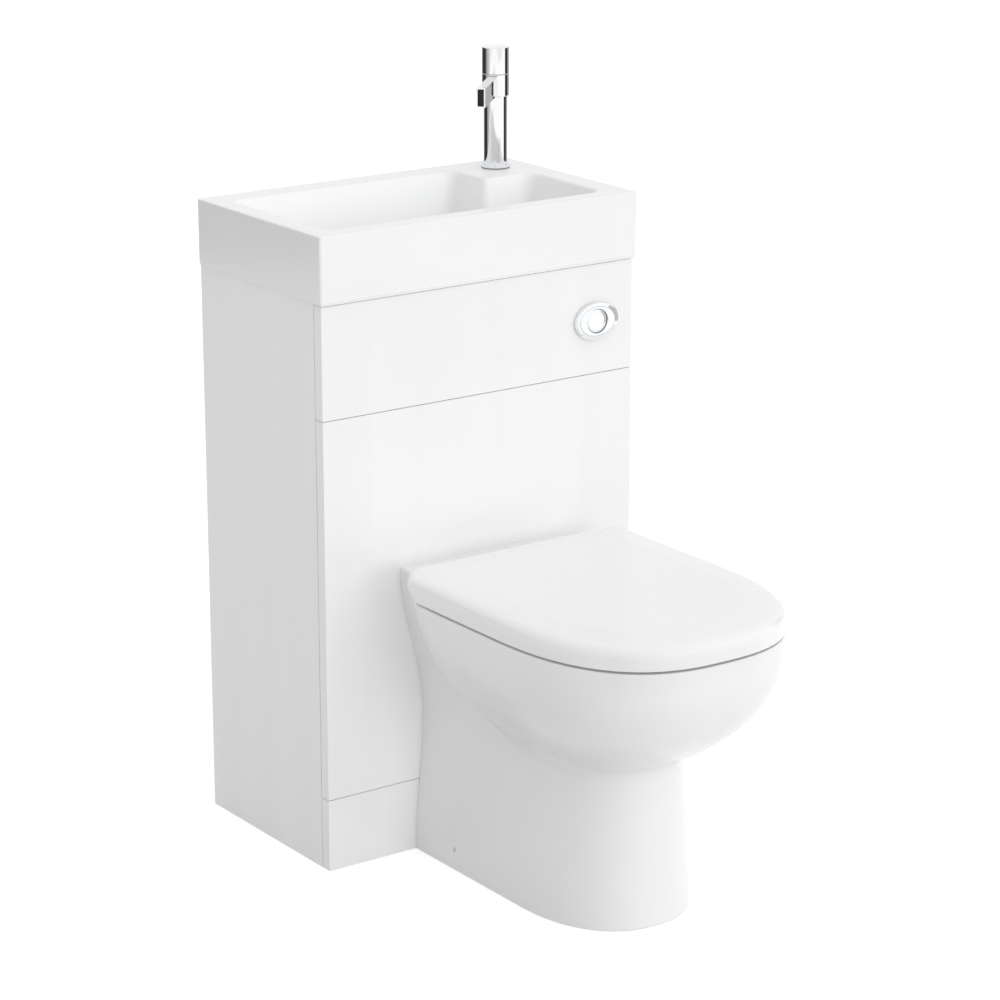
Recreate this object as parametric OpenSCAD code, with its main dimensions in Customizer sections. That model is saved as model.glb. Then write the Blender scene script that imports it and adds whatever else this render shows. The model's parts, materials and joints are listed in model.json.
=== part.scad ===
// Toilet with a basin on the cistern cabinet.
// Millimetres, +Z up, the front faces -Y. The origin is the middle of the floor print.
// Cabinet pieces are drawn with the wall at y = 0; pan and seat pieces are drawn from the
// cabinet's front face, with y = 0 on that face. Two placing modules bring them together.

/* [Basin] */
// Width of the basin
basin_w = 500; // [470:1:540]
// Depth of the basin from the wall
basin_d = 300; // [290:1:330]
// Height of the basin's outer wall
basin_h = 90; // [86:1:110]
// Height of the basin's top above the floor
basin_top = 855; // [840:1:900]
// Width of the left and front rims
rim_w = 30; // [24:1:36]
// Width of the right rim
rim_right_w = 37; // [30:1:44]
// Width of the back rim
rim_back_w = 38; // [30:1:44]
// Width of the raised tap deck inside the right rim
deck_w = 79; // [70:1:95]
// Depth of the raised tap deck in front of the back rim
deck_d = 75; // [65:1:90]
// Depth of the bowl at its walls
bowl_depth = 66; // [56:1:70]
// Thickness of the basin's walls under the rims
basin_wall = 9; // [7:0.5:11]
// Distance of the waste to the left of the middle
waste_x = 45; // [30:1:60]
// Distance of the waste from the wall
waste_y = 165; // [163:1:180]

/* [Cabinet] */
// Width of the cabinet
cabinet_w = 493; // [466:1:520]
// Depth of the cabinet with its front panels
cabinet_d = 295; // [288:1:310]
// Thickness of the side panels and rails
board_t = 15; // [14:0.5:18]
// Thickness of the front panels
front_t = 16; // [14:0.5:18]
// Height of the plinth panel
plinth_h = 99; // [80:1:120]
// Height of the joint between the front panels, below the basin's top
joint_drop = 241; // [225:1:265]
// Shadow gap between the front panels
panel_gap = 2; // [2:0.5:4]
// Gap between the front panels and the side panels' front edges
side_gap = 1; // [0.5:0.5:2]
// Height of the front rails
rail_h = 50; // [40:1:60]
// Height of the back rails
back_rail_h = 90; // [70:1:110]

/* [Pan] */
// Reach of the seat and pan in front of the cabinet
pan_reach = 515; // [480:1:540]
// Half width of the pan's rim
rim_half = 182; // [170:1:190]
// Height of the pan's rim
rim_z = 388; // [380:1:400]
// Height of the raised seat deck above the rim
deck_rise = 13; // [10:1:16]
// Half width of the pan's back against the cabinet
back_half = 131.5; // [120:0.5:138]
// Half width of the pan's waist
waist_half = 96.5; // [90:0.5:105]
// Height of the pan's waist
waist_z = 200; // [180:1:220]
// Half width of the pan's foot
foot_half = 110; // [100:1:120]
// Reach of the pan's foot in front of the cabinet
foot_reach = 389; // [370:1:410]
// Height of the underside of the bowl's bulge
bulge_z = 205; // [195:1:215]
// Thickness of the pan's walls
pan_wall = 11; // [9:0.5:12]
// Width of the rim round the bowl opening
pan_rim_w = 43; // [38:1:48]
// Height of the middle of the outlet
outlet_z = 180; // [175:1:190]
// Outside radius of the outlet spigot
outlet_r = 51; // [49:0.5:53]
// Length of the outlet spigot behind the cabinet's front face
outlet_len = 75; // [60:1:90]
// Height of the middle of the flush inlet
inlet_z = 335; // [325:1:345]
// Bore radius of the flush inlet
inlet_r = 27.5; // [26:0.5:30]

/* [Seat] */
// Height of the closed lid
lid_top = 425; // [421:1:430]
// Wall of the lid
lid_wall = 5; // [4:0.5:6]
// Thickness of the seat ring
seat_t = 17; // [14:1:18]
// Height of the seat ring above the pan's rim
seat_gap = 6; // [5:0.5:7]
// Distance of the hinge axis in front of the cabinet
hinge_y = 75; // [72:1:80]
// Height of the hinge axis above the seat deck
hinge_rise = 10.5; // [10:0.25:12]
// Half spacing of the hinge posts
hinge_half = 77.5; // [70:0.5:85]
// Radius of the hinge pins
pin_r = 4; // [3:0.25:4.5]

/* [Tap] */
// Distance of the tap from the basin's right side
tap_inset = 54; // [48:1:60]
// Distance of the tap from the wall
tap_y = 51; // [48:1:60]
// Radius of the tap's column
tap_r = 16.25; // [15:0.25:17]
// Radius of the tap's sleeve and cap
sleeve_r = 18.7; // [18:0.1:20]
// Height of the sleeve's lower edge above the deck
sleeve_z = 101; // [90:1:115]
// Height of the joint between sleeve and cap
cap_z = 130; // [126:1:140]
// Height of the tap's top above the deck
tap_h = 167; // [160:1:180]
// Reach of the spout from the tap's axis
spout_reach = 118; // [100:1:130]
// Width of the spout
spout_w = 12.5; // [11:0.5:15]
// Height of the spout
spout_h = 27; // [22:1:28]
// Turn of the spout from straight forward, towards the left
spout_turn = 45; // [0:5:60]

/* [Flush button] */
// Distance of the button from the cabinet's right side
button_inset = 61.1; // [56:0.1:80]
// Height of the button below the basin's top
button_drop = 168; // [160:1:175]
// Width of the button's bezel
bezel_w = 74; // [66:1:80]
// Height of the bezel
bezel_h = 51; // [46:1:56]
// How far the bezel stands off the panel
bezel_t = 6.5; // [5:0.5:8]
// Radius of the small round button
small_button_r = 16.6; // [15:0.1:18]
// Travel of the buttons
button_travel = 4; // [3:0.5:5]

/* [Cistern] */
// Width of the cistern
cistern_w = 360; // [340:5:364]
// Depth of the cistern
cistern_d = 112; // [108:1:114]
// Height of the cistern's underside above the floor
cistern_base = 458; // [440:1:470]
// Height of the cistern's lid below the basin's top
cistern_drop = 117; // [110:1:125]
// Wall of the cistern
tank_wall = 4; // [3:0.5:5]
// Outside radius of the flush pipe
flush_pipe_r = 18; // [16:0.5:20]
// Distance of the fill valve to the left of the middle
fill_x = 130; // [115:1:140]

/* [Hidden] */

$fn = 48;
gloss_white = [0.95, 0.95, 0.96];
china_white = [0.96, 0.96, 0.96];
plastic_white = [0.92, 0.93, 0.94];
chrome_grey = [0.78, 0.79, 0.81];
rubber_grey = [0.25, 0.25, 0.26];
zinc_grey = [0.62, 0.63, 0.65];
brass_gold = [0.78, 0.64, 0.35];

eps = 0.01;
clear = 0.3;
total_d = cabinet_d + pan_reach;
front_y = -cabinet_d;
inner_half = cabinet_w / 2 - board_t;
carcass_front = front_y + front_t;
button_x = cabinet_w / 2 - button_inset;
tap_x = basin_w / 2 - tap_inset;
cabinet_h = basin_top - basin_h;
joint_z = basin_top - joint_drop;
button_z = basin_top - button_drop;
cistern_top = basin_top - cistern_drop;
cistern_h = cistern_top - cistern_base;
screw_r = 2.5;

// Shared shapes ---------------------------------------------------------------------------

module at_wall() {
  translate([0, total_d / 2, 0]) children();
}

module at_front() {
  translate([0, total_d / 2 + front_y, 0]) children();
}

// One sewn skin: several lofts are joined before the true bores are cut.
module one_skin() {
  resize([0, 0, 0]) children();
}

module tube(r, bore, h) {
  difference() {
    cylinder(r = r, h = h);
    translate([0, 0, -1]) cylinder(r = bore, h = h + 2);
  }
}

module hex_nut(across, bore, h) {
  difference() {
    cylinder(r = across / 2 / cos(30), h = h, $fn = 6);
    translate([0, 0, -1]) cylinder(r = bore, h = h + 2);
  }
}

module along_y() {
  rotate([-90, 0, 0]) children();
}

module along_x() {
  rotate([0, 90, 0]) children();
}

module both_sides() {
  children();
  mirror([1, 0, 0]) children();
}

module rounded_plate(x, y, z, r) {
  linear_extrude(z) polygon(rounded_loop([[-x / 2, -y / 2], [x / 2, -y / 2], [x / 2, y / 2], [-x / 2, y / 2]], [r, r, r, r], 6));
}

function mix(a, b, t) = a + (b - a) * t;
function soft_step(t) = t * t * (3 - 2 * t);
function raise(loop, z) = [for (p = loop) [p[0], p[1], z]];

// A loop whose corners are arcs; each corner turns by a right angle, left or right.
function rounded_loop(corners, radii, steps) = [
  for (k = [0:len(corners) - 1])
    let (
      here = corners[k],
      before = corners[(k + len(corners) - 1) % len(corners)],
      after = corners[(k + 1) % len(corners)],
      u = (here - before) / norm(here - before),
      v = (after - here) / norm(after - here)
    )
    for (i = [0:steps])
      here + radii[k] * ((1 - cos(90 * i / steps)) * v - (1 - sin(90 * i / steps)) * u)
];

// A D seen from above: arcs at the back, straight sides and a full round front.
back_steps = 4;
front_steps = 26;
function d_shape(half, back, mid, front, corner, power) = concat(
  [for (i = [0:back_steps]) let (a = 90 * i / back_steps)
    [half - corner * (1 - cos(a)), back - corner * (1 - sin(a))]],
  [for (i = [0:back_steps]) let (a = 90 - 90 * i / back_steps)
    [-half + corner * (1 - cos(a)), back - corner * (1 - sin(a))]],
  [for (i = [0:front_steps]) let (a = 180 + 180 * i / front_steps)
    [half * sign(cos(a)) * pow(abs(cos(a)), 2 / power), mid - (mid - front) * pow(abs(sin(a)), 2 / power)]]
);

// Skin over rings of equally many points; its two end rings are closed to their middles.
module loft(rings, low_mid, high_mid) {
  n = len(rings[0]);
  m = len(rings);
  points = concat([for (ring = rings) each ring], [low_mid, high_mid]);
  walls = [for (i = [0:m - 2]) for (j = [0:n - 1]) let (k = (j + 1) % n)
    each [[i * n + j, (i + 1) * n + j, (i + 1) * n + k], [i * n + j, (i + 1) * n + k, i * n + k]]];
  low = [for (j = [0:n - 1]) [m * n, j, (j + 1) % n]];
  high = [for (j = [0:n - 1]) [m * n + 1, (m - 1) * n + (j + 1) % n, (m - 1) * n + j]];
  polyhedron(concat(points), concat(walls, low, high), convexity = 8);
}

// Skin over rings that close on themselves, like a tyre.
module ring_loft(rings) {
  n = len(rings[0]);
  m = len(rings);
  walls = [for (i = [0:m - 1]) for (j = [0:n - 1]) let (k = (j + 1) % n, up = (i + 1) % m)
    each [[i * n + j, up * n + j, up * n + k], [i * n + j, up * n + k, i * n + k]]];
  polyhedron([for (ring = rings) each ring], walls, convexity = 8);
}

// Points on a smooth curve through the given ones.
function curve_at(a, b, c, d, t) = 0.5 * (2 * b + (c - a) * t + (2 * a - 5 * b + 4 * c - d) * t * t + (3 * b - a - 3 * c + d) * t * t * t);
function smooth_path(p, steps) = concat(
  [for (i = [0:len(p) - 2]) for (s = [0:steps - 1])
    curve_at(p[max(i - 1, 0)], p[i], p[i + 1], p[min(i + 2, len(p) - 1)], s / steps)],
  [p[len(p) - 1]]
);

// Round tube swept along a path; side_dir is a direction that the path never follows.
module sweep(path, r, side_dir, sides) {
  last = len(path) - 1;
  rings = [for (i = [0:last])
    let (
      t = path[min(i + 1, last)] - path[max(i - 1, 0)],
      u = cross(t, side_dir) / norm(cross(t, side_dir)),
      v = cross(t, u) / norm(cross(t, u))
    )
    [for (j = [0:sides - 1]) path[i] + r * (u * cos(360 * j / sides) + v * sin(360 * j / sides))]];
  loft(rings, path[0], path[last]);
}

// Cabinet ---------------------------------------------------------------------------------

cam_r = 7.5;
cam_depth = 12;
cam_inset = 24;
dowel_r = 3.5;
dowel_len = 34;
side_d = cabinet_d - front_t - side_gap;
top_rail_z = cabinet_h - rail_h;
middle_rail_z = joint_z - rail_h / 2;
lower_rail_z = plinth_h - rail_h / 2;
upper_back_z = cabinet_h - back_rail_h;
lower_back_z = 250;
front_rail_y = carcass_front + board_t / 2;
back_rail_y = -board_t / 2;

// One eccentric cam with its bolt, in a rail's end; the bolt reaches into the side panel.
cam_places = [
  [front_rail_y, top_rail_z + rail_h / 2, 1],
  [front_rail_y, middle_rail_z + rail_h / 2, 1],
  [front_rail_y, lower_rail_z + rail_h / 2, 1],
  [back_rail_y, upper_back_z + back_rail_h / 2, -1],
  [back_rail_y, lower_back_z + back_rail_h / 2, -1]
];

module cam(place, extra) {
  face_y = place[0] + place[2] * board_t / 2;
  translate([inner_half - cam_inset, face_y, place[1]])
    rotate([place[2] * 90, 0, 0]) cylinder(r = cam_r + extra, h = cam_depth);
  translate([inner_half - cam_inset, place[0], place[1]])
    along_x() cylinder(r = dowel_r + extra, h = dowel_len);
}

module all_cams(extra) {
  both_sides() for (place = cam_places) cam(place, extra);
}

module side_panel() {
  difference() {
    translate([inner_half, -side_d, 0]) cube([board_t, side_d, cabinet_h]);
    for (place = cam_places) cam(place, 0.05);
    for (z = bracket_zs) translate([inner_half - 1, bracket_screw_y, z]) along_x() cylinder(r = screw_r, h = 11);
  }
}

module left_side_panel() {
  color(gloss_white) at_wall() mirror([1, 0, 0]) side_panel();
}

module right_side_panel() {
  color(gloss_white) at_wall() side_panel();
}

module rail(y, z, h) {
  difference() {
    translate([-inner_half, y - board_t / 2, z]) cube([2 * inner_half, board_t, h]);
    all_cams(0.05);
  }
}

module top_front_rail() {
  color(gloss_white) at_wall() rail(front_rail_y, top_rail_z, rail_h);
}

module middle_front_rail() {
  color(gloss_white) at_wall() rail(front_rail_y, middle_rail_z, rail_h);
}

module lower_front_rail() {
  color(gloss_white) at_wall() difference() {
    rail(front_rail_y, lower_rail_z, rail_h);
    translate([0, front_y - 1, outlet_z]) along_y() cylinder(r = outlet_r + 12, h = cabinet_d);
  }
}

module upper_back_rail() {
  color(gloss_white) at_wall() difference() {
    rail(back_rail_y, upper_back_z, back_rail_h);
    for (x = [-0.32, 0.32] * cistern_w)
      translate([x, -board_t - 1, tank_screw_z]) along_y() cylinder(r = screw_r + 0.05, h = 12);
  }
}

module lower_back_rail() {
  color(gloss_white) at_wall() rail(back_rail_y, lower_back_z, back_rail_h);
}

module front_panel(low, high) {
  translate([-cabinet_w / 2, front_y, low]) cube([cabinet_w, front_t, high - low]);
}

module flush_panel() {
  color(gloss_white) at_wall() difference() {
    front_panel(joint_z + panel_gap / 2, cabinet_h - 1.5);
    translate([button_x, front_y - 1, button_z]) along_y() cylinder(r = housing_r + clear, h = front_t + 2);
  }
}

module lower_front_panel() {
  color(gloss_white) at_wall() difference() {
    front_panel(plinth_h + panel_gap / 2, joint_z - panel_gap / 2);
    translate([0, front_y - 1, outlet_z]) along_y() cylinder(r = outlet_r + 12, h = front_t + 2);
    translate([0, front_y - 1, inlet_z]) along_y() cylinder(r = inlet_boss_r + 4, h = front_t + 2);
  }
}

module plinth_panel() {
  color(gloss_white) at_wall() front_panel(0, plinth_h - panel_gap / 2);
}

clip_w = 14;
clip_h = 40;
clip_gap = 13;
clip_zs = [
  top_rail_z - clip_gap - clip_h / 2, middle_rail_z - 3 * clip_gap - clip_h / 2,
  lower_rail_z + rail_h + clip_gap + clip_h / 2, lower_rail_z - clip_gap - clip_h / 2
];

// Push-in clips in the corner between the front panels and the side panels.
module panel_clips() {
  color(plastic_white) at_wall() both_sides() for (z = clip_zs) panel_clip(z);
}

module panel_clip(z) {
  difference() {
    translate([inner_half - clip_w, carcass_front, z - clip_h / 2]) cube([clip_w, 20, clip_h]);
    translate([inner_half - clip_w - 1, carcass_front + 4, z - clip_h / 2 + 4]) cube([clip_w - 3, 17, clip_h - 8]);
  }
}

module cam_fittings() {
  color(zinc_grey) at_wall() all_cams(0);
}

bracket_t = 2;
bracket_leg = 30;
bracket_h = 44;
bracket_zs = [lower_back_z + back_rail_h + 40, upper_back_z - 60];
bracket_screw_y = -18;
wall_screw_r = 3;
wall_screw_x = inner_half - 18;

// Steel angles that hold the cabinet's sides to the wall, each with its wood screw.
module wall_brackets() {
  color(zinc_grey) at_wall() both_sides() for (z = bracket_zs) wall_bracket(z);
}

module wall_bracket(z) {
  difference() {
    union() {
      translate([inner_half - bracket_t, -bracket_leg, z - bracket_h / 2]) cube([bracket_t, bracket_leg, bracket_h]);
      translate([inner_half - bracket_leg, -bracket_t, z - bracket_h / 2]) cube([bracket_leg, bracket_t, bracket_h]);
      translate([inner_half - bracket_t - 2, bracket_screw_y, z]) along_x() cylinder(r = 4, h = 3);
      translate([inner_half - bracket_t, bracket_screw_y, z]) along_x() cylinder(r = screw_r - 0.05, h = 11);
    }
    translate([wall_screw_x, -bracket_t - 1, z]) along_y() cylinder(r = wall_screw_r, h = bracket_t + 2);
  }
}

// Basin -----------------------------------------------------------------------------------

bowl_left = -basin_w / 2 + rim_w;
bowl_right = basin_w / 2 - rim_right_w;
bowl_front = -basin_d + rim_w;
bowl_back = -rim_back_w;
deck_left = bowl_right - deck_w;
deck_front = bowl_back - deck_d;
waste_at = [-waste_x, -waste_y];
waste_drop = 6;
waste_dish_r = 32;
waste_r = 21.5;
floor_z = basin_top - bowl_depth;
waste_z = floor_z - waste_drop;
bowl_corner_r = 20;
deck_corner_r = 7;
floor_fillet = 17;
bowl_draft = 5;
lip_r = 4;
deck_t = 14;
skirt_t = 16;

function bowl_loop(inset) = rounded_loop(
  [
    [bowl_left + inset, bowl_front + inset], [bowl_right - inset, bowl_front + inset],
    [bowl_right - inset, deck_front - inset], [deck_left - inset, deck_front - inset],
    [deck_left - inset, bowl_back - inset], [bowl_left + inset, bowl_back - inset]
  ],
  [for (k = [0:5]) k == 3 ? deck_corner_r + max(inset, -3) : bowl_corner_r - min(inset, 10) / 2],
  6
);

// The floor falls from the walls to the waste: each ring is drawn in towards its circle.
function floor_ring(inset, t, z) = [
  for (p = bowl_loop(inset))
    let (
      v = p - waste_at,
      q = waste_at + waste_dish_r * v / norm(v),
      s = mix(p, q, t)
    )
    [s[0], s[1], z]
];

// The bowl as a solid: grow widens it and drop lowers it, for the wall's outer face.
module bowl_form(grow, drop, above) {
  walls_in = bowl_draft - grow;
  low_z = floor_z - drop;
  loft(
    concat(
      [for (t = [1, 0.6, 0.25]) floor_ring(walls_in + floor_fillet, t, low_z - waste_drop * t)],
      [for (a = [0, 30, 60, 90]) raise(bowl_loop(walls_in + floor_fillet * (1 - sin(a))), low_z + floor_fillet * (1 - cos(a)))],
      [raise(bowl_loop(walls_in - bowl_draft * 0.9), basin_top - lip_r - (above > 0 ? 0 : 6))],
      above > 0 ? [for (a = [0, 30, 60, 90]) raise(bowl_loop(-grow - lip_r * (1 - cos(a))), basin_top - lip_r * (1 - sin(a)))] : [],
      above > 0 ? [raise(bowl_loop(-grow - lip_r), basin_top + above)] : []
    ),
    [waste_at[0], waste_at[1], low_z - waste_drop],
    [waste_at[0], waste_at[1], above > 0 ? basin_top + above : basin_top - lip_r - 6]
  );
}

module basin_outside() {
  edge = 3;
  translate([0, -basin_d / 2, cabinet_h + edge]) rounded_plate(basin_w, basin_d, basin_h - edge, edge);
  translate([0, -basin_d / 2, cabinet_h]) rounded_plate(basin_w - 2, basin_d - 2, edge + eps, edge - 1);
}

module basin() {
  color(china_white) at_wall() difference() {
    basin_outside();
    one_skin() difference() {
      translate([0, -basin_d / 2, cabinet_h - 1])
        rounded_plate(basin_w - 2 * skirt_t, basin_d - 2 * skirt_t, basin_h - deck_t + 1, 8);
      bowl_form(basin_wall, basin_wall, 0);
    }
    one_skin() {
      bowl_form(0, 0, 1);
      translate([waste_at[0], waste_at[1], waste_z]) cylinder(r = waste_dish_r + 0.4, h = waste_drop + 5, $fn = 60);
    }
    translate([waste_at[0], waste_at[1], waste_z - basin_wall - 1]) cylinder(r = waste_r + 1, h = basin_wall + 2);
    translate([tap_x, -tap_y, basin_top - deck_t - 1]) cylinder(r = tap_hole_r, h = deck_t + 2);
  }
}

waste_tail = 82;
waste_bore = 18;
waste_flange_t = 2.5;
plug_travel = 8;
stem_r = 4;
nut_gap = 0.3;
waste_under = waste_z - basin_wall;

module at_waste() {
  at_wall() translate([waste_at[0], waste_at[1], 0]) children();
}

// Flanged waste with the cross bar that carries the plug's stem.
module basin_waste() {
  color(chrome_grey) at_waste() difference() {
    union() {
      translate([0, 0, waste_z]) cylinder(r = waste_dish_r - 1, h = waste_flange_t);
      translate([0, 0, waste_z - waste_tail]) cylinder(r = waste_r, h = waste_tail + eps);
    }
    difference() {
      translate([0, 0, waste_z - waste_tail - 1]) cylinder(r = waste_bore, h = waste_tail + waste_flange_t + 2);
      translate([-waste_bore - 1, -3, waste_z - 38]) cube([2 * waste_bore + 2, 6, 10]);
      translate([0, 0, waste_z - 38]) cylinder(r = stem_r + 4, h = 10);
    }
    translate([0, 0, waste_z - 39]) cylinder(r = stem_r + clear, h = 12);
  }
}

// The mushroom plug: pressing it clicks it down onto the flange or lets it rise.
module waste_plug() {
  cap_bottom = waste_z + waste_flange_t + clear;
  color(chrome_grey) at_waste() {
    rotate_extrude() polygon([
      [0, cap_bottom], [waste_dish_r - 3, cap_bottom], [waste_dish_r - 2.4, cap_bottom + 1.2],
      [waste_dish_r - 3.5, cap_bottom + 2.6], [waste_dish_r - 12, cap_bottom + 4.2],
      [waste_dish_r - 22, cap_bottom + 4.8], [0, cap_bottom + 5]
    ]);
    translate([0, 0, waste_z - 46]) cylinder(r = stem_r, h = cap_bottom - waste_z + 46 + eps);
  }
}

module waste_washer() {
  color(rubber_grey) at_waste() translate([0, 0, waste_under - 4]) tube(waste_r + 10, waste_r + 0.1, 4);
}

module waste_backnut() {
  color(brass_gold) at_waste() translate([0, 0, waste_under - 4 - 10]) hex_nut(56, waste_r + 0.05, 10);
}

trap_top = waste_z - waste_tail;
trap_head_r = 24;
trap_cup_r = 29;
trap_outlet_z = trap_top - 31;
trap_outlet_len = 62;
trap_outlet_r = 20;
pipe_bore_r = 16.2;
dip_r = 17;
head_len = 70;
dip_len = 96;
cup_low = 118;
cup_h = 64;

// Compression nuts on the trap's inlet and outlet.
module trap_nuts() {
  color(plastic_white) at_waste() {
    translate([0, 0, trap_top - 4]) tube(waste_r + 6, waste_r + 0.1, 22);
    translate([-trap_outlet_len - 6, 0, trap_outlet_z]) along_x() tube(trap_outlet_r + 5, trap_outlet_r + 0.1, 20);
  }
}

// Head, dip tube and outlet arm; water leaves over the dip tube's outside.
module bottle_trap() {
  color(plastic_white) at_waste() difference() {
    union() {
      difference() {
        union() {
          translate([0, 0, trap_top - head_len]) cylinder(r = trap_head_r, h = head_len - 4);
          translate([-trap_outlet_len, 0, trap_outlet_z]) along_x() cylinder(r = trap_outlet_r, h = trap_outlet_len);
        }
        translate([0, 0, trap_top - head_len - 1]) cylinder(r = trap_head_r - 3, h = head_len - 11);
        translate([-trap_outlet_len - 1, 0, trap_outlet_z]) along_x() cylinder(r = pipe_bore_r, h = 31);
        translate([-trap_outlet_len, 0, trap_outlet_z]) along_x() cylinder(r = pipe_bore_r - 2, h = trap_outlet_len - dip_r);
      }
      translate([0, 0, trap_top - 5]) cylinder(r = waste_r, h = 5);
      translate([0, 0, trap_top - dip_len]) cylinder(r = dip_r, h = dip_len - 6);
    }
    translate([0, 0, trap_top - dip_len - 1]) cylinder(r = dip_r - 2, h = dip_len + 2);
  }
}

module trap_cup() {
  rib_r = 2;
  color(plastic_white) at_waste() translate([0, 0, trap_top - cup_low]) difference() {
    rotate_extrude() polygon([
      [0, 0], [14, 0], [22, 3], [trap_cup_r - 1, 12], [trap_cup_r, 20], [trap_cup_r, cup_h], [0, cup_h]
    ]);
    translate([0, 0, 9]) cylinder(r = trap_head_r - 2, h = cup_h);
    translate([0, 0, cup_low - head_len - 0.1]) cylinder(r = trap_head_r + 0.1, h = cup_h);
    for (i = [0:11]) rotate(30 * i) translate([trap_cup_r + 0.6, 0, 28]) cylinder(r = rib_r, h = cup_h, $fn = 16);
  }
}

// Tap -------------------------------------------------------------------------------------

tap_hole_r = 17.5;
shank_r = 14;
shank_len = 48;
tap_core_r = 13;
tail_r = 5;
tail_depth = 14;
collar_r = 20;
collar_h = 6;
spindle_r = 5;
cap_wall = 2.4;
cap_lift = 8;
cartridge_h = 22;
insert_depth = 9;

module at_tap() {
  at_wall() translate([tap_x, -tap_y, basin_top]) children();
}

module tap_body() {
  color(chrome_grey) at_tap() difference() {
    union() {
      translate([0, 0, 1]) rotate_extrude() polygon([
        [0, 0], [collar_r - 0.5, 0], [collar_r, 0.8], [collar_r, 2.6], [collar_r - 1.2, 4.4],
        [tap_r + 1.2, collar_h - 1.2], [tap_r, collar_h], [tap_r, sleeve_z - 2], [0, sleeve_z - 2]
      ]);
      translate([0, 0, sleeve_z - 1 - eps]) cylinder(r = tap_core_r, h = cap_z - sleeve_z + 1);
      translate([0, 0, -shank_len]) cylinder(r = shank_r, h = shank_len + 1.5);
    }
    both_sides() translate([tail_r + 1.5, 0, -shank_len - 1]) cylinder(r = tail_r, h = tail_depth + 1);
    translate([0, 0, cap_z - cartridge_h]) cylinder(r = spindle_r + 4.5, h = cartridge_h + 1);
  }
}

module tap_base_seal() {
  color(rubber_grey) at_tap() tube(collar_r - 1, tap_hole_r, 1);
}

// Sleeve with the flat-sided spout that reaches over the bowl.
module tap_spout() {
  wall = 2.2;
  mid_z = (sleeve_z + cap_z) / 2;
  color(chrome_grey) at_tap() difference() {
    union() {
      translate([0, 0, sleeve_z - 1]) cylinder(r = sleeve_r, h = cap_z - sleeve_z + 1);
      rotate(-90 - spout_turn) translate([0, -spout_w / 2, mid_z - spout_h / 2]) cube([spout_reach, spout_w, spout_h]);
    }
    translate([0, 0, sleeve_z - 2]) cylinder(r = tap_core_r + 0.05, h = cap_z - sleeve_z + 4);
    rotate(-90 - spout_turn) translate([tap_core_r, -spout_w / 2 + wall, mid_z - spout_h / 2 + wall])
      cube([spout_reach, spout_w - 2 * wall, spout_h - 2 * wall]);
  }
}

// Flow straightener that fills the spout behind its mouth.
module spout_insert() {
  fit = 2.3;
  mid_z = (sleeve_z + cap_z) / 2;
  color(rubber_grey) at_tap() rotate(-90 - spout_turn)
    translate([sleeve_r + 1, -spout_w / 2 + fit, mid_z - spout_h / 2 + fit])
      cube([spout_reach - insert_depth - sleeve_r - 1, spout_w - 2 * fit, spout_h - 2 * fit]);
}

module tap_cartridge() {
  color(brass_gold) at_tap() translate([0, 0, cap_z - cartridge_h]) tube(spindle_r + 4.4, spindle_r + 1.6, cartridge_h - 2);
}

// The carrier turns with the cap and sets the temperature; the cap lifts on it for flow.
module cartridge_carrier() {
  color(plastic_white) at_tap() translate([0, 0, cap_z - cartridge_h + 0.3]) difference() {
    cylinder(r = spindle_r + 1.5, h = cartridge_h + 2);
    translate([0, 0, 6]) cylinder(r = spindle_r - 1.9, h = cartridge_h);
  }
}

module tap_cap() {
  color(chrome_grey) at_tap() difference() {
    union() {
      difference() {
        translate([0, 0, cap_z + clear]) rotate_extrude() polygon([
          [0, 0], [sleeve_r, 0], [sleeve_r, tap_h - cap_z - clear - 1.2],
          [sleeve_r - 1.2, tap_h - cap_z - clear], [0, tap_h - cap_z - clear]
        ]);
        translate([0, 0, cap_z - 1]) cylinder(r = sleeve_r - cap_wall, h = tap_h - cap_z - cap_wall - 8);
      }
      translate([0, 0, cap_z - 12]) cylinder(r = spindle_r - 2, h = tap_h - cap_z + 4);
    }
  }
}

module tap_backnut() {
  color(brass_gold) at_tap() {
    translate([0, 0, -deck_t - 3]) tube(shank_r + 9, shank_r + 0.1, 3);
    translate([0, 0, -deck_t - 12.9]) hex_nut(36, shank_r + 0.05, 9.8);
  }
}

// Cistern ---------------------------------------------------------------------------------

tank_low = cistern_base;
tank_mid_y = -board_t - cistern_d / 2;
tank_floor = tank_low + tank_wall;
rim_flange = 4;
valve_shank_r = 24;
valve_bore = flush_pipe_r + 0.2;
shank_drop = 30;
seal_r = 31;
seat_r = 26;
stem_tube_r = 11;
stem_lift = 20;
cage_h = cistern_h - 90;
cage_r = 36;
fill_shank_r = 10.45;
fill_shoulder_r = 11;
fill_nut_h = 9;
fill_head_h = 30;
fill_drop = 34;
fill_tube_r = 12;
float_r = 26;
float_h = 55;
float_low = 40;
float_travel = 60;
lid_t = 5;

module at_tank() {
  at_wall() translate([0, tank_mid_y, 0]) children();
}

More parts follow.
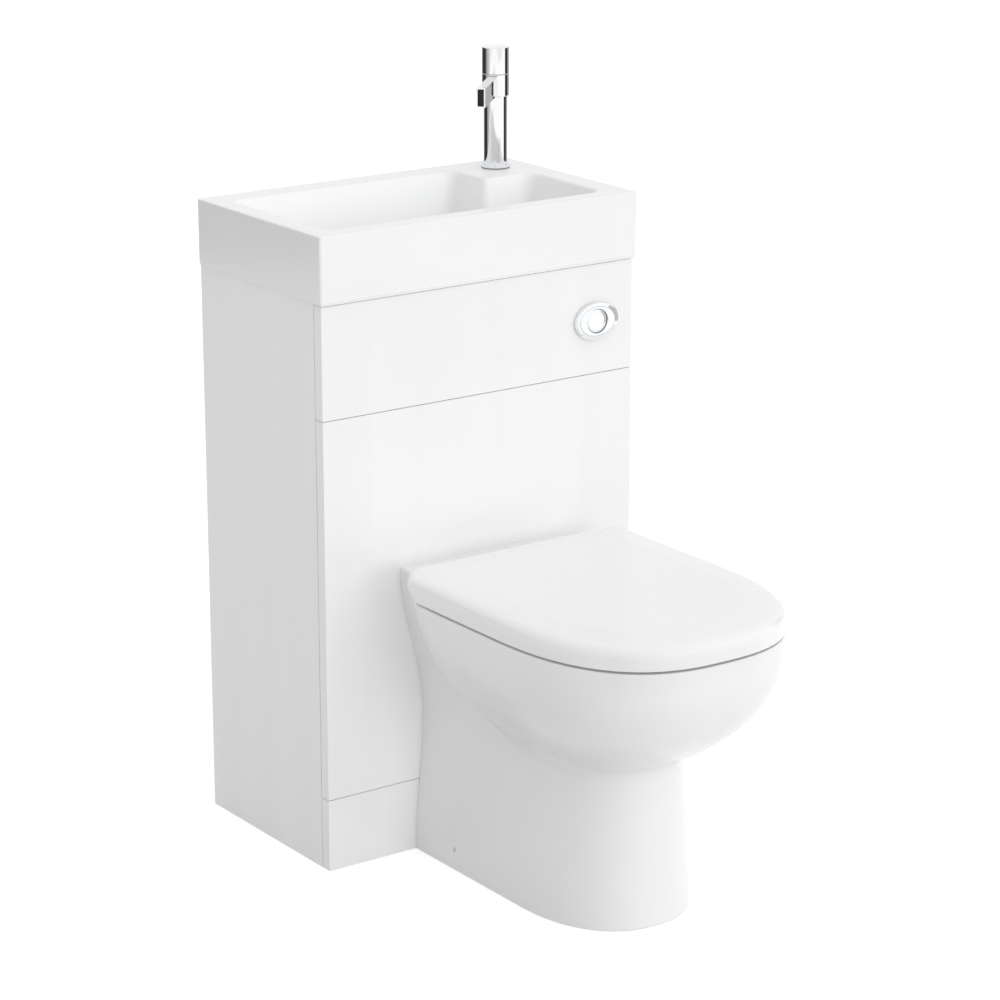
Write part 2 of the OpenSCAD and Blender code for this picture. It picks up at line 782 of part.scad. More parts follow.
module cistern_tank() {
  color(plastic_white) at_tank() difference() {
    union() {
      translate([0, 0, tank_low]) rounded_plate(cistern_w, cistern_d, cistern_h - lid_t, 14);
      translate([0, 0, cistern_top - lid_t - 8]) rounded_plate(cistern_w + 2 * rim_flange, cistern_d, 8, 14);
      for (x = [-0.36, -0.18, 0.18, 0.36] * cistern_w)
        translate([x - 3, -cistern_d / 2 - 2.5, tank_low + 20]) cube([6, 5, cistern_h - 60]);
    }
    translate([0, 0, tank_floor])
      rounded_plate(cistern_w - 2 * tank_wall, cistern_d - 2 * tank_wall, cistern_h, 14 - tank_wall);
    translate([0, 0, tank_low - 1]) cylinder(r = valve_shank_r + 0.5, h = tank_wall + 2);
    translate([-fill_x, 0, tank_low - 1]) cylinder(r = fill_shoulder_r + 0.4, h = tank_wall + 2);
    for (x = [-0.32, 0.32] * cistern_w)
      translate([x, cistern_d / 2 - tank_wall - 1, tank_screw_z]) along_y() cylinder(r = screw_r + 0.05, h = tank_wall + 2);
  }
}

module cistern_lid() {
  color(plastic_white) at_tank() difference() {
    union() {
      translate([0, 0, cistern_top - lid_t]) rounded_plate(cistern_w + 2 * rim_flange, cistern_d, lid_t, 14);
      translate([0, 0, cistern_top - lid_t - 4])
        rounded_plate(cistern_w - 2 * tank_wall - 1, cistern_d - 2 * tank_wall - 1, 4.5, 9);
    }
    translate([0, 0, cistern_top - lid_t - 5])
      rounded_plate(cistern_w - 2 * tank_wall - 9, cistern_d - 2 * tank_wall - 9, 5, 6);
    for (side = [-1, 1])
      translate([actuator_x + side * tube_half, 0, cistern_top - lid_t - 6]) cylinder(r = air_tube_r + 1.2, h = lid_t + 8);
  }
}

tank_screw_z = upper_back_z + 30;

// Two screws inside the tank hold it to the upper back rail.
module cistern_screws() {
  color(zinc_grey) at_tank() for (x = [-0.32, 0.32] * cistern_w) translate([x, 0, tank_screw_z]) {
    translate([0, cistern_d / 2 - tank_wall - 4, 0]) along_y() cylinder(r = 7, h = 4);
    translate([0, cistern_d / 2 - tank_wall - 0.5, 0]) along_y() cylinder(r = screw_r, h = tank_wall + 10.5);
  }
}

// Cage with the valve seat, its shank through the tank's floor and three guide posts.
module flush_valve_cage() {
  color(plastic_white) at_tank() difference() {
    union() {
      translate([0, 0, tank_floor]) cylinder(r = cage_r, h = 5);
      translate([0, 0, tank_floor + 4]) cylinder(r = seat_r + 3, h = 8);
      translate([0, 0, tank_low - shank_drop]) cylinder(r = valve_shank_r, h = shank_drop + tank_wall + 2);
      for (a = [90, 210, 330]) rotate(a) translate([cage_r - 4, -5, tank_floor]) cube([4, 10, cage_h]);
      translate([0, 0, tank_floor + cage_h - 6]) cylinder(r = cage_r, h = 6);
    }
    translate([0, 0, tank_low - shank_drop - 1]) cylinder(r = valve_bore, h = shank_drop + tank_wall + 20);
    translate([0, 0, tank_floor + cage_h - 8]) cylinder(r = stem_tube_r + 0.4, h = 10);
  }
}

// Overflow tube with the flange that carries the seal.
module flush_valve_stem() {
  color([0.35, 0.5, 0.75]) at_tank() difference() {
    union() {
      translate([0, 0, tank_floor + 15.3]) cylinder(r = stem_tube_r, h = cage_h - 4);
      translate([0, 0, tank_floor + 15.3]) cylinder(r = seal_r - 3, h = 4);
    }
    translate([0, 0, tank_floor + 12]) cylinder(r = stem_tube_r - 2, h = cage_h + 10);
  }
}

module flush_valve_seal() {
  color(rubber_grey) at_tank() translate([0, 0, tank_floor + 12.3]) tube(seal_r - 2, stem_tube_r + 0.2, 3);
}

actuator_x = 27;
actuator_r = 8;
tube_half = 4.5;
air_tube_r = 2.5;
tube_nipple_z = tank_floor + cage_h + 34;

// Air ram on the cage: air from the buttons lifts the stem through it.
module flush_actuator() {
  color(plastic_white) at_tank() {
    translate([actuator_x - 11, -11, tank_floor + cage_h]) cube([20, 22, 26]);
    translate([actuator_x - 11, -6, tank_floor + cage_h + 25.9]) cube([20, 12, 8.1]);
  }
}

module flush_valve_nut() {
  color(plastic_white) at_tank() {
    translate([0, 0, tank_low - 12]) hex_nut(62, valve_shank_r + 0.05, 12);
  }
}

module fill_valve() {
  color(plastic_white) at_tank() translate([-fill_x, 0, 0]) difference() {
    union() {
      translate([0, 0, tank_floor]) cylinder(r = 17, h = 5);
      translate([0, 0, tank_low - fill_drop]) cylinder(r = fill_shank_r, h = fill_drop);
      translate([0, 0, tank_low - fill_nut_h]) cylinder(r = fill_shoulder_r, h = fill_nut_h + tank_wall + 2);
      translate([0, 0, tank_floor]) cylinder(r = fill_tube_r, h = cistern_h - 80);
      translate([0, 0, tank_floor + cistern_h - 95]) cylinder(r = 22, h = fill_head_h);
    }
    translate([0, 0, tank_low - fill_drop - 1]) cylinder(r = 6, h = fill_drop + 60);
  }
}

module fill_float() {
  color([0.35, 0.5, 0.75]) at_tank() translate([-fill_x, 0, tank_floor + float_low])
    difference() {
      tube(float_r, fill_tube_r + 0.5, float_h);
      translate([0, 0, -1]) tube(float_r - 2.5, fill_tube_r + 3, float_h - 3);
    }
}

module fill_valve_nut() {
  color(plastic_white) at_tank() translate([-fill_x, 0, tank_low - fill_nut_h]) hex_nut(30, fill_shoulder_r + 0.05, fill_nut_h);
}

elbow_r = 42;
pipe_top = tank_low - 8;
pipe_end_y = front_y - 22;

// Flush pipe: down from the tank, round one elbow and forward into the pan.
module flush_pipe() {
  y_mid = tank_mid_y;
  color(plastic_white) at_wall() difference() {
    flush_pipe_solid(y_mid, flush_pipe_r, 0);
    flush_pipe_solid(y_mid, flush_pipe_r - 2, 1);
  }
}

module flush_pipe_solid(y_mid, r, over) {
  translate([0, y_mid, inlet_z + elbow_r]) cylinder(r = r, h = pipe_top - inlet_z - elbow_r + over);
  translate([0, y_mid - elbow_r, inlet_z + elbow_r]) rotate([0, -90, 0]) rotate(90)
    rotate_extrude(angle = 90) translate([elbow_r, 0]) circle(r = r);
  translate([0, pipe_end_y - over, inlet_z]) along_y() cylinder(r = r, h = y_mid - elbow_r - pipe_end_y + over);
}

module flush_pipe_nut() {
  color(plastic_white) at_tank() translate([0, 0, tank_low - shank_drop - 6]) difference() {
    tube(valve_shank_r + 5, flush_pipe_r + 0.1, 20);
    translate([0, 0, 5.9]) cylinder(r = valve_shank_r + 0.1, h = 20);
  }
}

inlet_boss_r = inlet_r + 8;

// Rubber cone between the flush pipe and the pan's inlet.
module flush_cone_seal() {
  color(rubber_grey) at_front() translate([0, 0, inlet_z]) rotate([90, 0, 0]) difference() {
    rotate_extrude() polygon([
      [flush_pipe_r + 0.05, -front_t], [inlet_boss_r, -6], [inlet_boss_r, 0], [inlet_r - 0.05, 0],
      [inlet_r - 0.6, 18], [flush_pipe_r + 0.05, 18]
    ]);
  }
}

// Flush button ----------------------------------------------------------------------------

housing_r = 21;
housing_len = 46;
nut_t = 8;
bezel_wall = 2.4;
bezel_floor = 0.8;
plate_drop = 0.5;
button_gap = 0.4;
button_stem_r = 5;

module at_button() {
  at_wall() translate([button_x, front_y, button_z]) rotate([90, 0, 0]) children();
}

module ellipse(w, h) {
  scale([1, h / w]) circle(d = w, $fn = 64);
}

// Oval collar on the panel: its back is open round the housing's mouth.
module button_bezel() {
  color(chrome_grey) at_button() difference() {
    one_skin() difference() {
      hull() {
        linear_extrude(bezel_t - 2) ellipse(bezel_w, bezel_h);
        linear_extrude(bezel_t) ellipse(bezel_w - 2.4, bezel_h - 2.4);
      }
      translate([0, 0, bezel_floor]) linear_extrude(bezel_t) ellipse(bezel_w - 2 * bezel_wall, bezel_h - 2 * bezel_wall);
    }
    translate([0, 0, -1]) cylinder(r = housing_r - 3, h = 4);
  }
}

// Oval plate round the small button; pressing it gives the full flush.
module full_flush_button() {
  w = bezel_w - 2 * bezel_wall - 2 * button_gap;
  h = bezel_h - 2 * bezel_wall - 2 * button_gap;
  low = bezel_floor + button_travel + 0.2;
  plate_t = bezel_t - plate_drop - low;
  color(chrome_grey) at_button() difference() {
    union() {
      one_skin() hull() {
        translate([0, 0, low]) linear_extrude(plate_t - 0.4) ellipse(w, h);
        translate([0, 0, low]) linear_extrude(plate_t) ellipse(w - 3, h - 3);
      }
      translate([0, 0, -12]) cylinder(r = small_button_r + 0.9, h = low + 12.1);
    }
    translate([0, 0, -13]) cylinder(r = small_button_r + button_gap - 0.6, h = bezel_t + 14);
  }
}

// Round button in the middle; pressing it gives the half flush.
module half_flush_button() {
  color(chrome_grey) at_button() {
    translate([0, 0, bezel_t - 4.5]) cylinder(r = small_button_r - 0.6, h = 4.3 - plate_drop);
    translate([0, 0, -14]) cylinder(r = button_stem_r, h = bezel_t + 11);
  }
}

module button_housing() {
  color(plastic_white) at_button() {
    translate([0, 0, -housing_len]) difference() {
      cylinder(r = housing_r, h = housing_len);
      translate([0, 0, 14]) cylinder(r = housing_r - 3, h = housing_len);
    }
    for (side = [-1, 1]) translate([side * tube_half * 2, 0, -housing_len - 10]) cylinder(r = 3.4, h = 10.1);
  }
}

module button_backnut() {
  color(plastic_white) at_button() translate([0, 0, -front_t - nut_t]) tube(housing_r + 6, housing_r + 0.1, nut_t);
}

// Two air tubes from the button housing, over the tank and down to the ram.
module air_tubes() {
  start_y = front_y + housing_len + 10;
  color([0.85, 0.88, 0.92]) at_wall() for (side = [-1, 1]) {
    x0 = button_x + side * tube_half * 2;
    x1 = actuator_x + side * tube_half;
    run_z = cistern_top + 12 + side * 4;
    drop_y = tank_mid_y;
    sweep(
      smooth_path([
        [x0, start_y, button_z], [x0, start_y + 16, button_z + 2], [x0 - 3, start_y + 34, button_z + 22],
        [x0 - 14, start_y + 42, run_z - 10], [mix(x0, x1, 0.35), mix(start_y, drop_y, 0.55), run_z + 2],
        [mix(x0, x1, 0.75), drop_y - 6, run_z + 2], [x1 + 6, drop_y, run_z], [x1, drop_y, run_z - 12],
        [x1, drop_y, tube_nipple_z]
      ], 4),
      air_tube_r, [0.35, -0.2, 0.05], 8
    );
  }
}

// Pan -------------------------------------------------------------------------------------

seat_deck_z = rim_z + deck_rise;
hollow_top = rim_z - 20;
wing_nut_h = 14;
deck_reach = hinge_y + 35;
rim_band = 7;
bulge_taper = 0.6;
outlet_bore_r = outlet_r - 8;
rim_front = -pan_reach + 1.5;
rim_back = -hinge_y - 2;
rim_corner = 45;
foot_mid = -(foot_reach - 152);
side_hole_y = 90;
side_hole_z = 28;
side_hole_r = 4;
stud_hole_r = 7;

// Half width of the pan's back at a height: a waist between the foot and the deck.
function column_half(z) = z < waist_z
  ? mix(foot_half, waist_half, soft_step(z / waist_z))
  : mix(waist_half, back_half, soft_step((z - waist_z) / (seat_deck_z - waist_z)));

// Reach of the column at a height; above the bulge's foot it draws back inside the bulge.
function column_front(z) = z < bulge_z + 8
  ? -mix(foot_reach, foot_reach - 8, z / (bulge_z + 8))
  : -mix(foot_reach - 8, deck_reach, min((z - bulge_z - 8) / (bulge_top - bulge_z - 8), 1));

function column_ring(z, inset, back) = let (
    front = column_front(z) + inset,
    mid = mix(foot_mid, -deck_reach * 0.6, soft_step(max(z - waist_z, 0) / (seat_deck_z - waist_z)))
  )
  raise(d_shape(column_half(z) - inset, back, mid, min(front, mid - 10), 3, 2.3), z);

module column(inset, back, low, high, steps) {
  zs = [for (i = [0:steps]) mix(low, high, i / steps)];
  edge = inset > 0 ? [] : [for (a = [0, 30, 60, 90]) [5 * (1 - cos(a)), high - 5 + 5 * sin(a)]];
  rings = concat(
    [for (z = zs) if (inset > 0 || z < high - 6) column_ring(z, inset, back)],
    [for (e = edge) raise([for (p = column_ring(high, e[0], back)) [p[0], p[1]]], e[1])]
  );
  loft(rings, [0, foot_mid, low], [0, -deck_reach / 2, high]);
}

// The bulge under the rim at a height: fall runs from 0 under the rim's band to 1 at its foot.
bulge_top = rim_z - rim_band;
bulge_mid = -(pan_reach - 240);
function bulge_ring(z, inset) = let (
    fall = min(max((bulge_top - z) / (bulge_top - bulge_z), 0), 1),
    k = 1 - bulge_taper * pow(fall, 2.4),
    back = rim_back - 95 * fall - 80 * pow(fall, 12)
  )
  raise(d_shape(rim_half * k - inset, back - inset, bulge_mid, bulge_mid + (rim_front - bulge_mid) * k + inset, rim_corner * k, 2.6), z);

module bulge(inset, high, steps) {
  band = 1;
  edge = 3;
  low = bulge_z + inset;
  top = inset > 0 ? high : bulge_top;
  rings = concat(
    [for (i = [0:steps]) bulge_ring(mix(low, top, pow(i / steps, 0.7)), inset)],
    inset > 0 ? [] : [raise(rim_outline(-band), bulge_top + 0.6)],
    inset > 0 ? [] : [for (a = [0, 30, 60, 90]) raise(rim_outline(edge * (1 - cos(a)) - band), high - edge + edge * sin(a))]
  );
  loft(rings, [0, bulge_mid, low], [0, bulge_mid, high]);
}

function rim_outline(inset) = d_shape(rim_half - inset, rim_back - inset, bulge_mid, rim_front + inset, rim_corner, 2.6);

bowl_half = rim_half - pan_rim_w;
bowl_open_front = rim_front + pan_rim_w;
bowl_open_back = -155;
under_rim = 8;
rim_inner_h = 36;
bowl_low = 58;
bowl_sides = 32;
sump_mid = -(foot_reach - 127);

// The bowl's inside below its rim: share of the height, of the width and of the length.
bowl_profile = [[0, 0.14, 0.1], [0.045, 0.25, 0.21], [0.21, 0.33, 0.28], [0.41, 0.42, 0.38], [0.54, 0.53, 0.54], [0.66, 0.76, 0.8], [0.82, 0.94, 0.965], [1, 1, 1]];

// An egg seen from above, between a front and a back reach.
function egg(half, front, back) = let (mid = mix(back, front, 0.42))
  [for (i = [0:bowl_sides - 1]) let (a = 360 * i / bowl_sides)
    [half * cos(a), mid + (sin(a) > 0 ? back - mid : mid - front) * sin(a)]];

function bowl_ring(share, grow) = raise(
  egg(
    (bowl_half + under_rim) * share[1] + grow,
    mix(sump_mid, bowl_open_front - under_rim, share[2]) - grow,
    mix(sump_mid, bowl_open_back + under_rim, share[2]) + grow
  ),
  mix(bowl_low, rim_z - rim_inner_h - 3, share[0]) - (share[0] < 0.1 ? grow : grow * 0.4)
);

module bowl_inside(grow) {
  profile = smooth_path(bowl_profile, grow > 0 ? 1 : 2);
  top_rings = grow > 0
    ? [raise(egg(bowl_half + under_rim + grow, bowl_open_front - under_rim - grow, bowl_open_back + under_rim + grow), rim_z - 2)]
    : [
        raise(egg(bowl_half, bowl_open_front, bowl_open_back), rim_z - rim_inner_h),
        raise(egg(bowl_half, bowl_open_front, bowl_open_back), rim_z - 6),
        raise(egg(bowl_half + 1.5, bowl_open_front - 1.5, bowl_open_back + 1.5), rim_z - 1.5),
        raise(egg(bowl_half + 6, bowl_open_front - 6, bowl_open_back + 6), rim_z + deck_rise + 5)
      ];
  rings = concat([for (share = profile) bowl_ring(share, grow)], top_rings);
  loft(rings, [0, sump_mid, bowl_low - grow], [0, bulge_mid, rings[len(rings) - 1][0][2]]);
}

trap_r = 36;
// The trapway leaves the sump, climbs over the weir and levels out into the spigot.
trap_route = [
  [0, sump_mid, 96], [0, sump_mid + 30, 93], [0, -196, 108], [0, -164, 160], [0, -133, 204],
  [0, -98, 206], [0, -66, 189], [0, -34, outlet_z], [0, 2, outlet_z]
];

module trapway(grow) {
  sweep(smooth_path(trap_route, 2), trap_r + grow, [1, 0, 0], 20);
}

module pan_skin() {
  difference() {
    union() {
      column(0, 0, 0, seat_deck_z, 12);
      bulge(0, rim_z, 12);
    }
    difference() {
      union() {
        column(pan_wall, 3, -1, hollow_top, 7);
        bulge(pan_wall, hollow_top, 7);
      }
      bowl_inside(pan_wall - 2);
      trapway(pan_wall - 2);
      translate([0, -58, outlet_z]) along_y() cylinder(r = outlet_r + 5, h = 56, $fn = 40);
      translate([0, bowl_open_back - 10, inlet_z]) along_y() cylinder(r = inlet_boss_r, h = 10 - bowl_open_back, $fn = 40);
      both_sides() translate([bracket_x, -side_hole_y - 16, -2]) cube([foot_half - bracket_x, 32, 54]);
    }
    bowl_inside(0);
    trapway(0);
    translate([0, bowl_open_back - 20, inlet_z]) along_y() cylinder(r = inlet_r - 9, h = 30 - bowl_open_back, $fn = 32);
    both_sides() translate([bracket_x - 1, -side_hole_y, side_hole_z]) along_x() cylinder(r = side_hole_r, h = 60, $fn = 24);
    both_sides() translate([hinge_half, -hinge_y, rim_z - 60]) cylinder(r = stud_hole_r, h = 80, $fn = 24);
  }
}

// Vitreous china pan: outer skin, bowl, trapway and spigot are one casting.
module pan() {
  color(china_white) at_front() difference() {
    union() {
      one_skin() pan_skin();
      translate([0, -3, outlet_z]) along_y() cylinder(r = outlet_r, h = 3 + outlet_len);
    }
    translate([0, -8, outlet_z]) along_y() cylinder(r = outlet_bore_r, h = 9 + outlet_len);
    translate([0, -22, inlet_z]) along_y() cylinder(r = inlet_r, h = 30);
  }
}

bracket_x = 82;
bracket_w = 34;
floor_screw_r = 3;
side_screw_len = 40;

// Plastic blocks that are screwed to the floor inside the foot.
module floor_brackets() {
  color(plastic_white) at_front() both_sides() difference() {
    translate([bracket_x - clear - bracket_w, -side_hole_y - 14, 0]) cube([bracket_w, 28, 44]);
    translate([bracket_x - bracket_w - 1, -side_hole_y - 15, 12]) cube([20, 30, 40]);
    translate([bracket_x - bracket_w + 9, -side_hole_y, -1]) cylinder(r = floor_screw_r, h = 20);
    translate([bracket_x - 16, -side_hole_y, side_hole_z]) along_x() cylinder(r = screw_r + 0.05, h = 20);
  }
}

module side_screws() {
  color(zinc_grey) at_front() both_sides() translate([bracket_x - 15, -side_hole_y, side_hole_z]) {
    along_x() cylinder(r = screw_r, h = 15 + 12);
    translate([24, 0, 0]) along_x() cylinder(r = side_hole_r - 0.2, h = 3);
  }
}

module screw_caps() {
  color(china_white) at_front() both_sides() translate([0, -side_hole_y, side_hole_z])
    translate([column_half(side_hole_z) - 6, 0, 0]) along_x() cylinder(r = side_hole_r - 0.05, h = 4);
}

// Seat and lid ----------------------------------------------------------------------------

hinge_z = seat_deck_z + hinge_rise;
barrel_r = 7.5;
stud_r = 4;
lug_w = 13;
lug_gap = 0.4;
post_w = 14;
post_half = 7;
lid_half = rim_half + 1;
lid_back = -hinge_y + 7.5;
lid_low = rim_z + 2.5;
back_cut_z = hinge_z - 5;
lid_under = lid_top - lid_wall;
lid_corner = 38;
lid_mid = -(pan_reach - 240);
seat_low = rim_z + seat_gap;
seat_high = seat_low + seat_t;
seat_inset = lid_wall + 2.5;
seat_back = -deck_reach - 3;
seat_open_half = 108;
seat_open_front = -pan_reach + 70;
seat_open_back = -175;

function lid_ring(inset, z) = raise(d_shape(lid_half - inset, lid_back - inset, lid_mid, -pan_reach + inset, max(lid_corner - inset, 2), 2.6), z);

// Two posts stand on the pan's deck; a stud under each goes through the china.
module hinge_posts() {
  color(chrome_grey) at_front() both_sides() translate([hinge_half, -hinge_y, 0]) difference() {
    union() {
      translate([0, 0, seat_deck_z]) cylinder(r = 9, h = 1.5);
      translate([-post_w / 2, -post_half, seat_deck_z + 1]) cube([post_w, 2 * post_half, hinge_rise - 1]);
      translate([-post_w / 2, 0, hinge_z]) along_x() cylinder(r = barrel_r, h = post_w);
      translate([0, 0, hollow_top - wing_nut_h - 6]) cylinder(r = stud_r, h = seat_deck_z - hollow_top + wing_nut_h + 7);
    }
    translate([-post_w, 0, hinge_z]) along_x() cylinder(r = pin_r, h = 2 * post_w);
  }
}

module hinge_pins() {
  color(zinc_grey) at_front() both_sides()
    translate([hinge_half - post_w / 2 - lug_gap - lug_w, -hinge_y, hinge_z])
      along_x() cylinder(r = pin_r, h = post_w + 2 * lug_gap + 2 * lug_w);
}

module hinge_wing_nuts() {
  color(plastic_white) at_front() both_sides() translate([hinge_half, -hinge_y, hollow_top - wing_nut_h]) difference() {
    union() {
      translate([0, 0, wing_nut_h - 3]) cylinder(r = 13, h = 3);
      cylinder(r = 8, h = wing_nut_h - 2);
      translate([-16, -2, 0]) cube([32, 4, 9]);
    }
    translate([0, 0, -1]) cylinder(r = stud_r + 0.05, h = 20);
  }
}

// The seat's section from its outer edge (0) to its opening (1), with heights.
seat_section = [
  [0.03, 0], [0, 0.12], [0, 0.55], [0.03, 0.8], [0.1, 0.94], [0.25, 1], [0.55, 1], [0.8, 0.9],
  [0.94, 0.7], [1, 0.42], [1, 0.15], [0.96, 0]
];

function seat_outline() = d_shape(lid_half - seat_inset, seat_back, lid_mid, -pan_reach + seat_inset, 30, 2.6);

function seat_opening() = let (
    mid = mix(seat_open_back, seat_open_front, 0.45),
    centre = [0, mid]
  )
  [for (p = seat_outline()) let (a = atan2((p[1] - mid) / (p[1] > mid ? seat_open_back - mid : mid - seat_open_front), p[0] / seat_open_half))
    centre + [seat_open_half * cos(a), (sin(a) > 0 ? seat_open_back - mid : mid - seat_open_front) * sin(a)]];

module seat_ring() {
  outer = seat_outline();
  inner = seat_opening();
  n = len(outer);
  color(gloss_white) at_front() difference() {
    union() {
      ring_loft([for (s = seat_section) [for (j = [0:n - 1])
        let (p = mix(outer[j], inner[j], s[0])) [p[0], p[1], seat_low + seat_t * s[1]]]]);
      both_sides() hinge_lug(hinge_half - post_w / 2 - lug_gap - lug_w, seat_back - 12, seat_low + 9.5, seat_high - 2);
    }
    both_sides() translate([hinge_half - 40, -hinge_y, hinge_z]) along_x() cylinder(r = pin_r + 0.05, h = 80);
  }
}

// A lug from a seat or lid back to the hinge axis.
module hinge_lug(x, front, low, high) {
  translate([x, 0, 0]) {
    translate([0, -hinge_y, hinge_z]) along_x() cylinder(r = barrel_r, h = lug_w);
    translate([0, front, low]) cube([lug_w, -hinge_y - front, high - low]);
  }
}

buffer_r = 8;
// Four places round the rim: share of the half width and reach from the cabinet.
buffer_places = [[0.84, 0.34], [0.84, 0.62]];

module at_buffers() {
  both_sides() for (b = buffer_places) translate([b[0] * lid_half, -b[1] * pan_reach, 0]) children();
}

module seat_buffers() {
  color([0.85, 0.85, 0.86]) at_front() at_buffers() translate([0, 0, rim_z]) cylinder(r = buffer_r, h = seat_gap);
}

// Shell with a soft upper edge; its skirt comes down over the seat ring.
module seat_lid() {
  crown = [[0, 14], [0.6, 20], [2, 25.5], [4.5, 29.5], [8.5, 32], [14, 33.2], [24, 33.9], [45, 34.3]];
  rings = concat(
    [lid_ring(lid_wall + 30, lid_under), lid_ring(lid_wall + 4, lid_under), lid_ring(lid_wall, lid_under - 4)],
    [lid_ring(lid_wall, lid_low), lid_ring(0.8, lid_low), lid_ring(0, lid_low + 1.5)],
    [for (c = crown) lid_ring(c[0], lid_top - 34.5 + c[1])]
  );
  color(gloss_white) at_front() difference() {
    union() {
      difference() {
        loft(rings, [0, lid_mid, lid_under], [0, lid_mid, lid_top]);
        lid_back_cut();
      }
      both_sides() translate([hinge_half + post_w / 2 + lug_gap, 0, 0]) {
        translate([0, -hinge_y, hinge_z]) along_x() cylinder(r = barrel_r, h = lug_w);
        translate([0, -hinge_y - barrel_r, hinge_z]) cube([lug_w, 2 * barrel_r, lid_under - hinge_z + 1]);
      }
    }
    both_sides() translate([hinge_half - 40, -hinge_y, hinge_z]) along_x() cylinder(r = pin_r + 0.05, h = 80);
  }
}

// Room at the back for the deck and the posts, and the skirt's cut-up back corners.
module lid_back_cut() {
  post_bay = hinge_half + post_w / 2 + lug_w + 8;
  translate([-post_bay, -deck_reach - 4, lid_low - 5]) cube([2 * post_bay, deck_reach, lid_under - lid_low + 5]);
  translate([-lid_half - 1, 0, 0]) along_x() linear_extrude(2 * lid_half + 2)
    polygon([
      [5 - lid_low, -deck_reach - 6], [-lid_low - 0.1, -deck_reach - 4], [-seat_deck_z - 1.8, -deck_reach + 12],
      [-back_cut_z, -deck_reach + 24], [-back_cut_z, 0], [5 - lid_low, 0]
    ]);
}

module lid_buffers() {
  color([0.85, 0.85, 0.86]) at_front() at_buffers()
    translate([0, 0, seat_high + clear]) cylinder(r = 6, h = lid_under - seat_high - clear);
}

left_side_panel();
right_side_panel();
top_front_rail();
middle_front_rail();
lower_front_rail();
upper_back_rail();
lower_back_rail();
flush_panel();
lower_front_panel();
plinth_panel();
panel_clips();
cam_fittings();
wall_brackets();
basin();
basin_waste();
waste_plug();
waste_washer();
waste_backnut();
trap_nuts();
bottle_trap();
trap_cup();
tap_body();
tap_base_seal();
tap_spout();
spout_insert();
tap_cartridge();
cartridge_carrier();
tap_cap();
tap_backnut();
cistern_tank();
cistern_lid();
cistern_screws();
flush_valve_cage();
flush_valve_stem();
flush_valve_seal();
flush_actuator();
flush_valve_nut();
fill_valve();
fill_float();
fill_valve_nut();
flush_pipe();
flush_pipe_nut();
flush_cone_seal();
button_bezel();
full_flush_button();
half_flush_button();
button_housing();
button_backnut();
air_tubes();
pan();
floor_brackets();
side_screws();
screw_caps();
hinge_posts();
hinge_pins();
hinge_wing_nuts();
seat_ring();
seat_buffers();
seat_lid();
lid_buffers();
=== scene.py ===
import json
from math import atan2, cos, pi, radians, sin
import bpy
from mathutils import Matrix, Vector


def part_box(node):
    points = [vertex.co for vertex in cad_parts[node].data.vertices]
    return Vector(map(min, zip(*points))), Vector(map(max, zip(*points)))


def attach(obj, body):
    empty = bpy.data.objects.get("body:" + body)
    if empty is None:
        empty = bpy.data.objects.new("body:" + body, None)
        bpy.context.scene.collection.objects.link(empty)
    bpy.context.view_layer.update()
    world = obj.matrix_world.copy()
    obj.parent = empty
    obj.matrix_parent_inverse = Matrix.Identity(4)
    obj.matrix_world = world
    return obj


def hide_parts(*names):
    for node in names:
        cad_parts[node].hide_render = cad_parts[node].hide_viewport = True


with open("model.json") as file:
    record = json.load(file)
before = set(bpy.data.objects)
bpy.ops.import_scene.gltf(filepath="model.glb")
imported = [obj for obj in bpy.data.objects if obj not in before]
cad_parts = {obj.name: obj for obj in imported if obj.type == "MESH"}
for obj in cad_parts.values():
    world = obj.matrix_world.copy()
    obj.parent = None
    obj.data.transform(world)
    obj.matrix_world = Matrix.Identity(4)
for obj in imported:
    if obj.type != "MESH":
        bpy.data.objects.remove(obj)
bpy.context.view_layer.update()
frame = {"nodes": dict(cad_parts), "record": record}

from types import SimpleNamespace

import bmesh
import bpy
import numpy as np
from mathutils import Vector

scene = bpy.context.scene
milli = 0.001
frontY = 110.0   # the cabinet's front face, in the shared frame
wallY = 405.0    # the wall behind the cabinet
weldReach = 0.000002   # points closer than this are one, in metres


def putIn(name, data):
    obj = bpy.data.objects.new(name, data)
    scene.collection.objects.link(obj)
    return obj


# Camera: the photograph's view, seen from the front and the left, a little from above

viewSizes = {
    "place": (-2.4176, -3.3214, 1.7253), "yaw": 35.496, "pitch": 16.662, "lens": 119.34, "sensor": 36.0,
    "far": 60.0,
}
lens = bpy.data.cameras.new("photoView")
lens.lens = viewSizes["lens"]
lens.sensor_width = viewSizes["sensor"]
lens.clip_end = viewSizes["far"]
camera = putIn("photoView", lens)
camera.location = viewSizes["place"]
camera.rotation_euler = (radians(90 - viewSizes["pitch"]), 0, -radians(viewSizes["yaw"]))
scene.camera = camera
scene.view_settings.view_transform = "Standard"


# Node trees: one call for a node with its settings, and one for the links between sockets

def fill(node, values):
    # the node's inputs, by name or by number
    for socket, value in values.items():
        node.inputs[socket].default_value = value


def addNode(tree, kind, values=None, **options):
    node = tree.nodes.new(kind)
    for option, value in options.items():
        setattr(node, option, value)
    fill(node, values or {})
    return node


def maths(tree, operation, values=None):
    return addNode(tree, "ShaderNodeMath", values, operation=operation)


def join(tree, *steps):
    # each step is a node, its output, the next node and that node's input
    for source, out, target, into in steps:
        tree.links.new(source.outputs[out], target.inputs[into])


def passOn(tree, source, out, *row):
    # a shape goes through a row of nodes and leaves at the last one
    for node in row[:-1]:
        tree.links.new(source.outputs[out], node.inputs["Geometry"])
        source, out = node, "Geometry"
    tree.links.new(source.outputs[out], row[-1].inputs["made"])


def paint(name):
    material = bpy.data.materials.new(name)
    material.use_nodes = True
    return material, material.node_tree


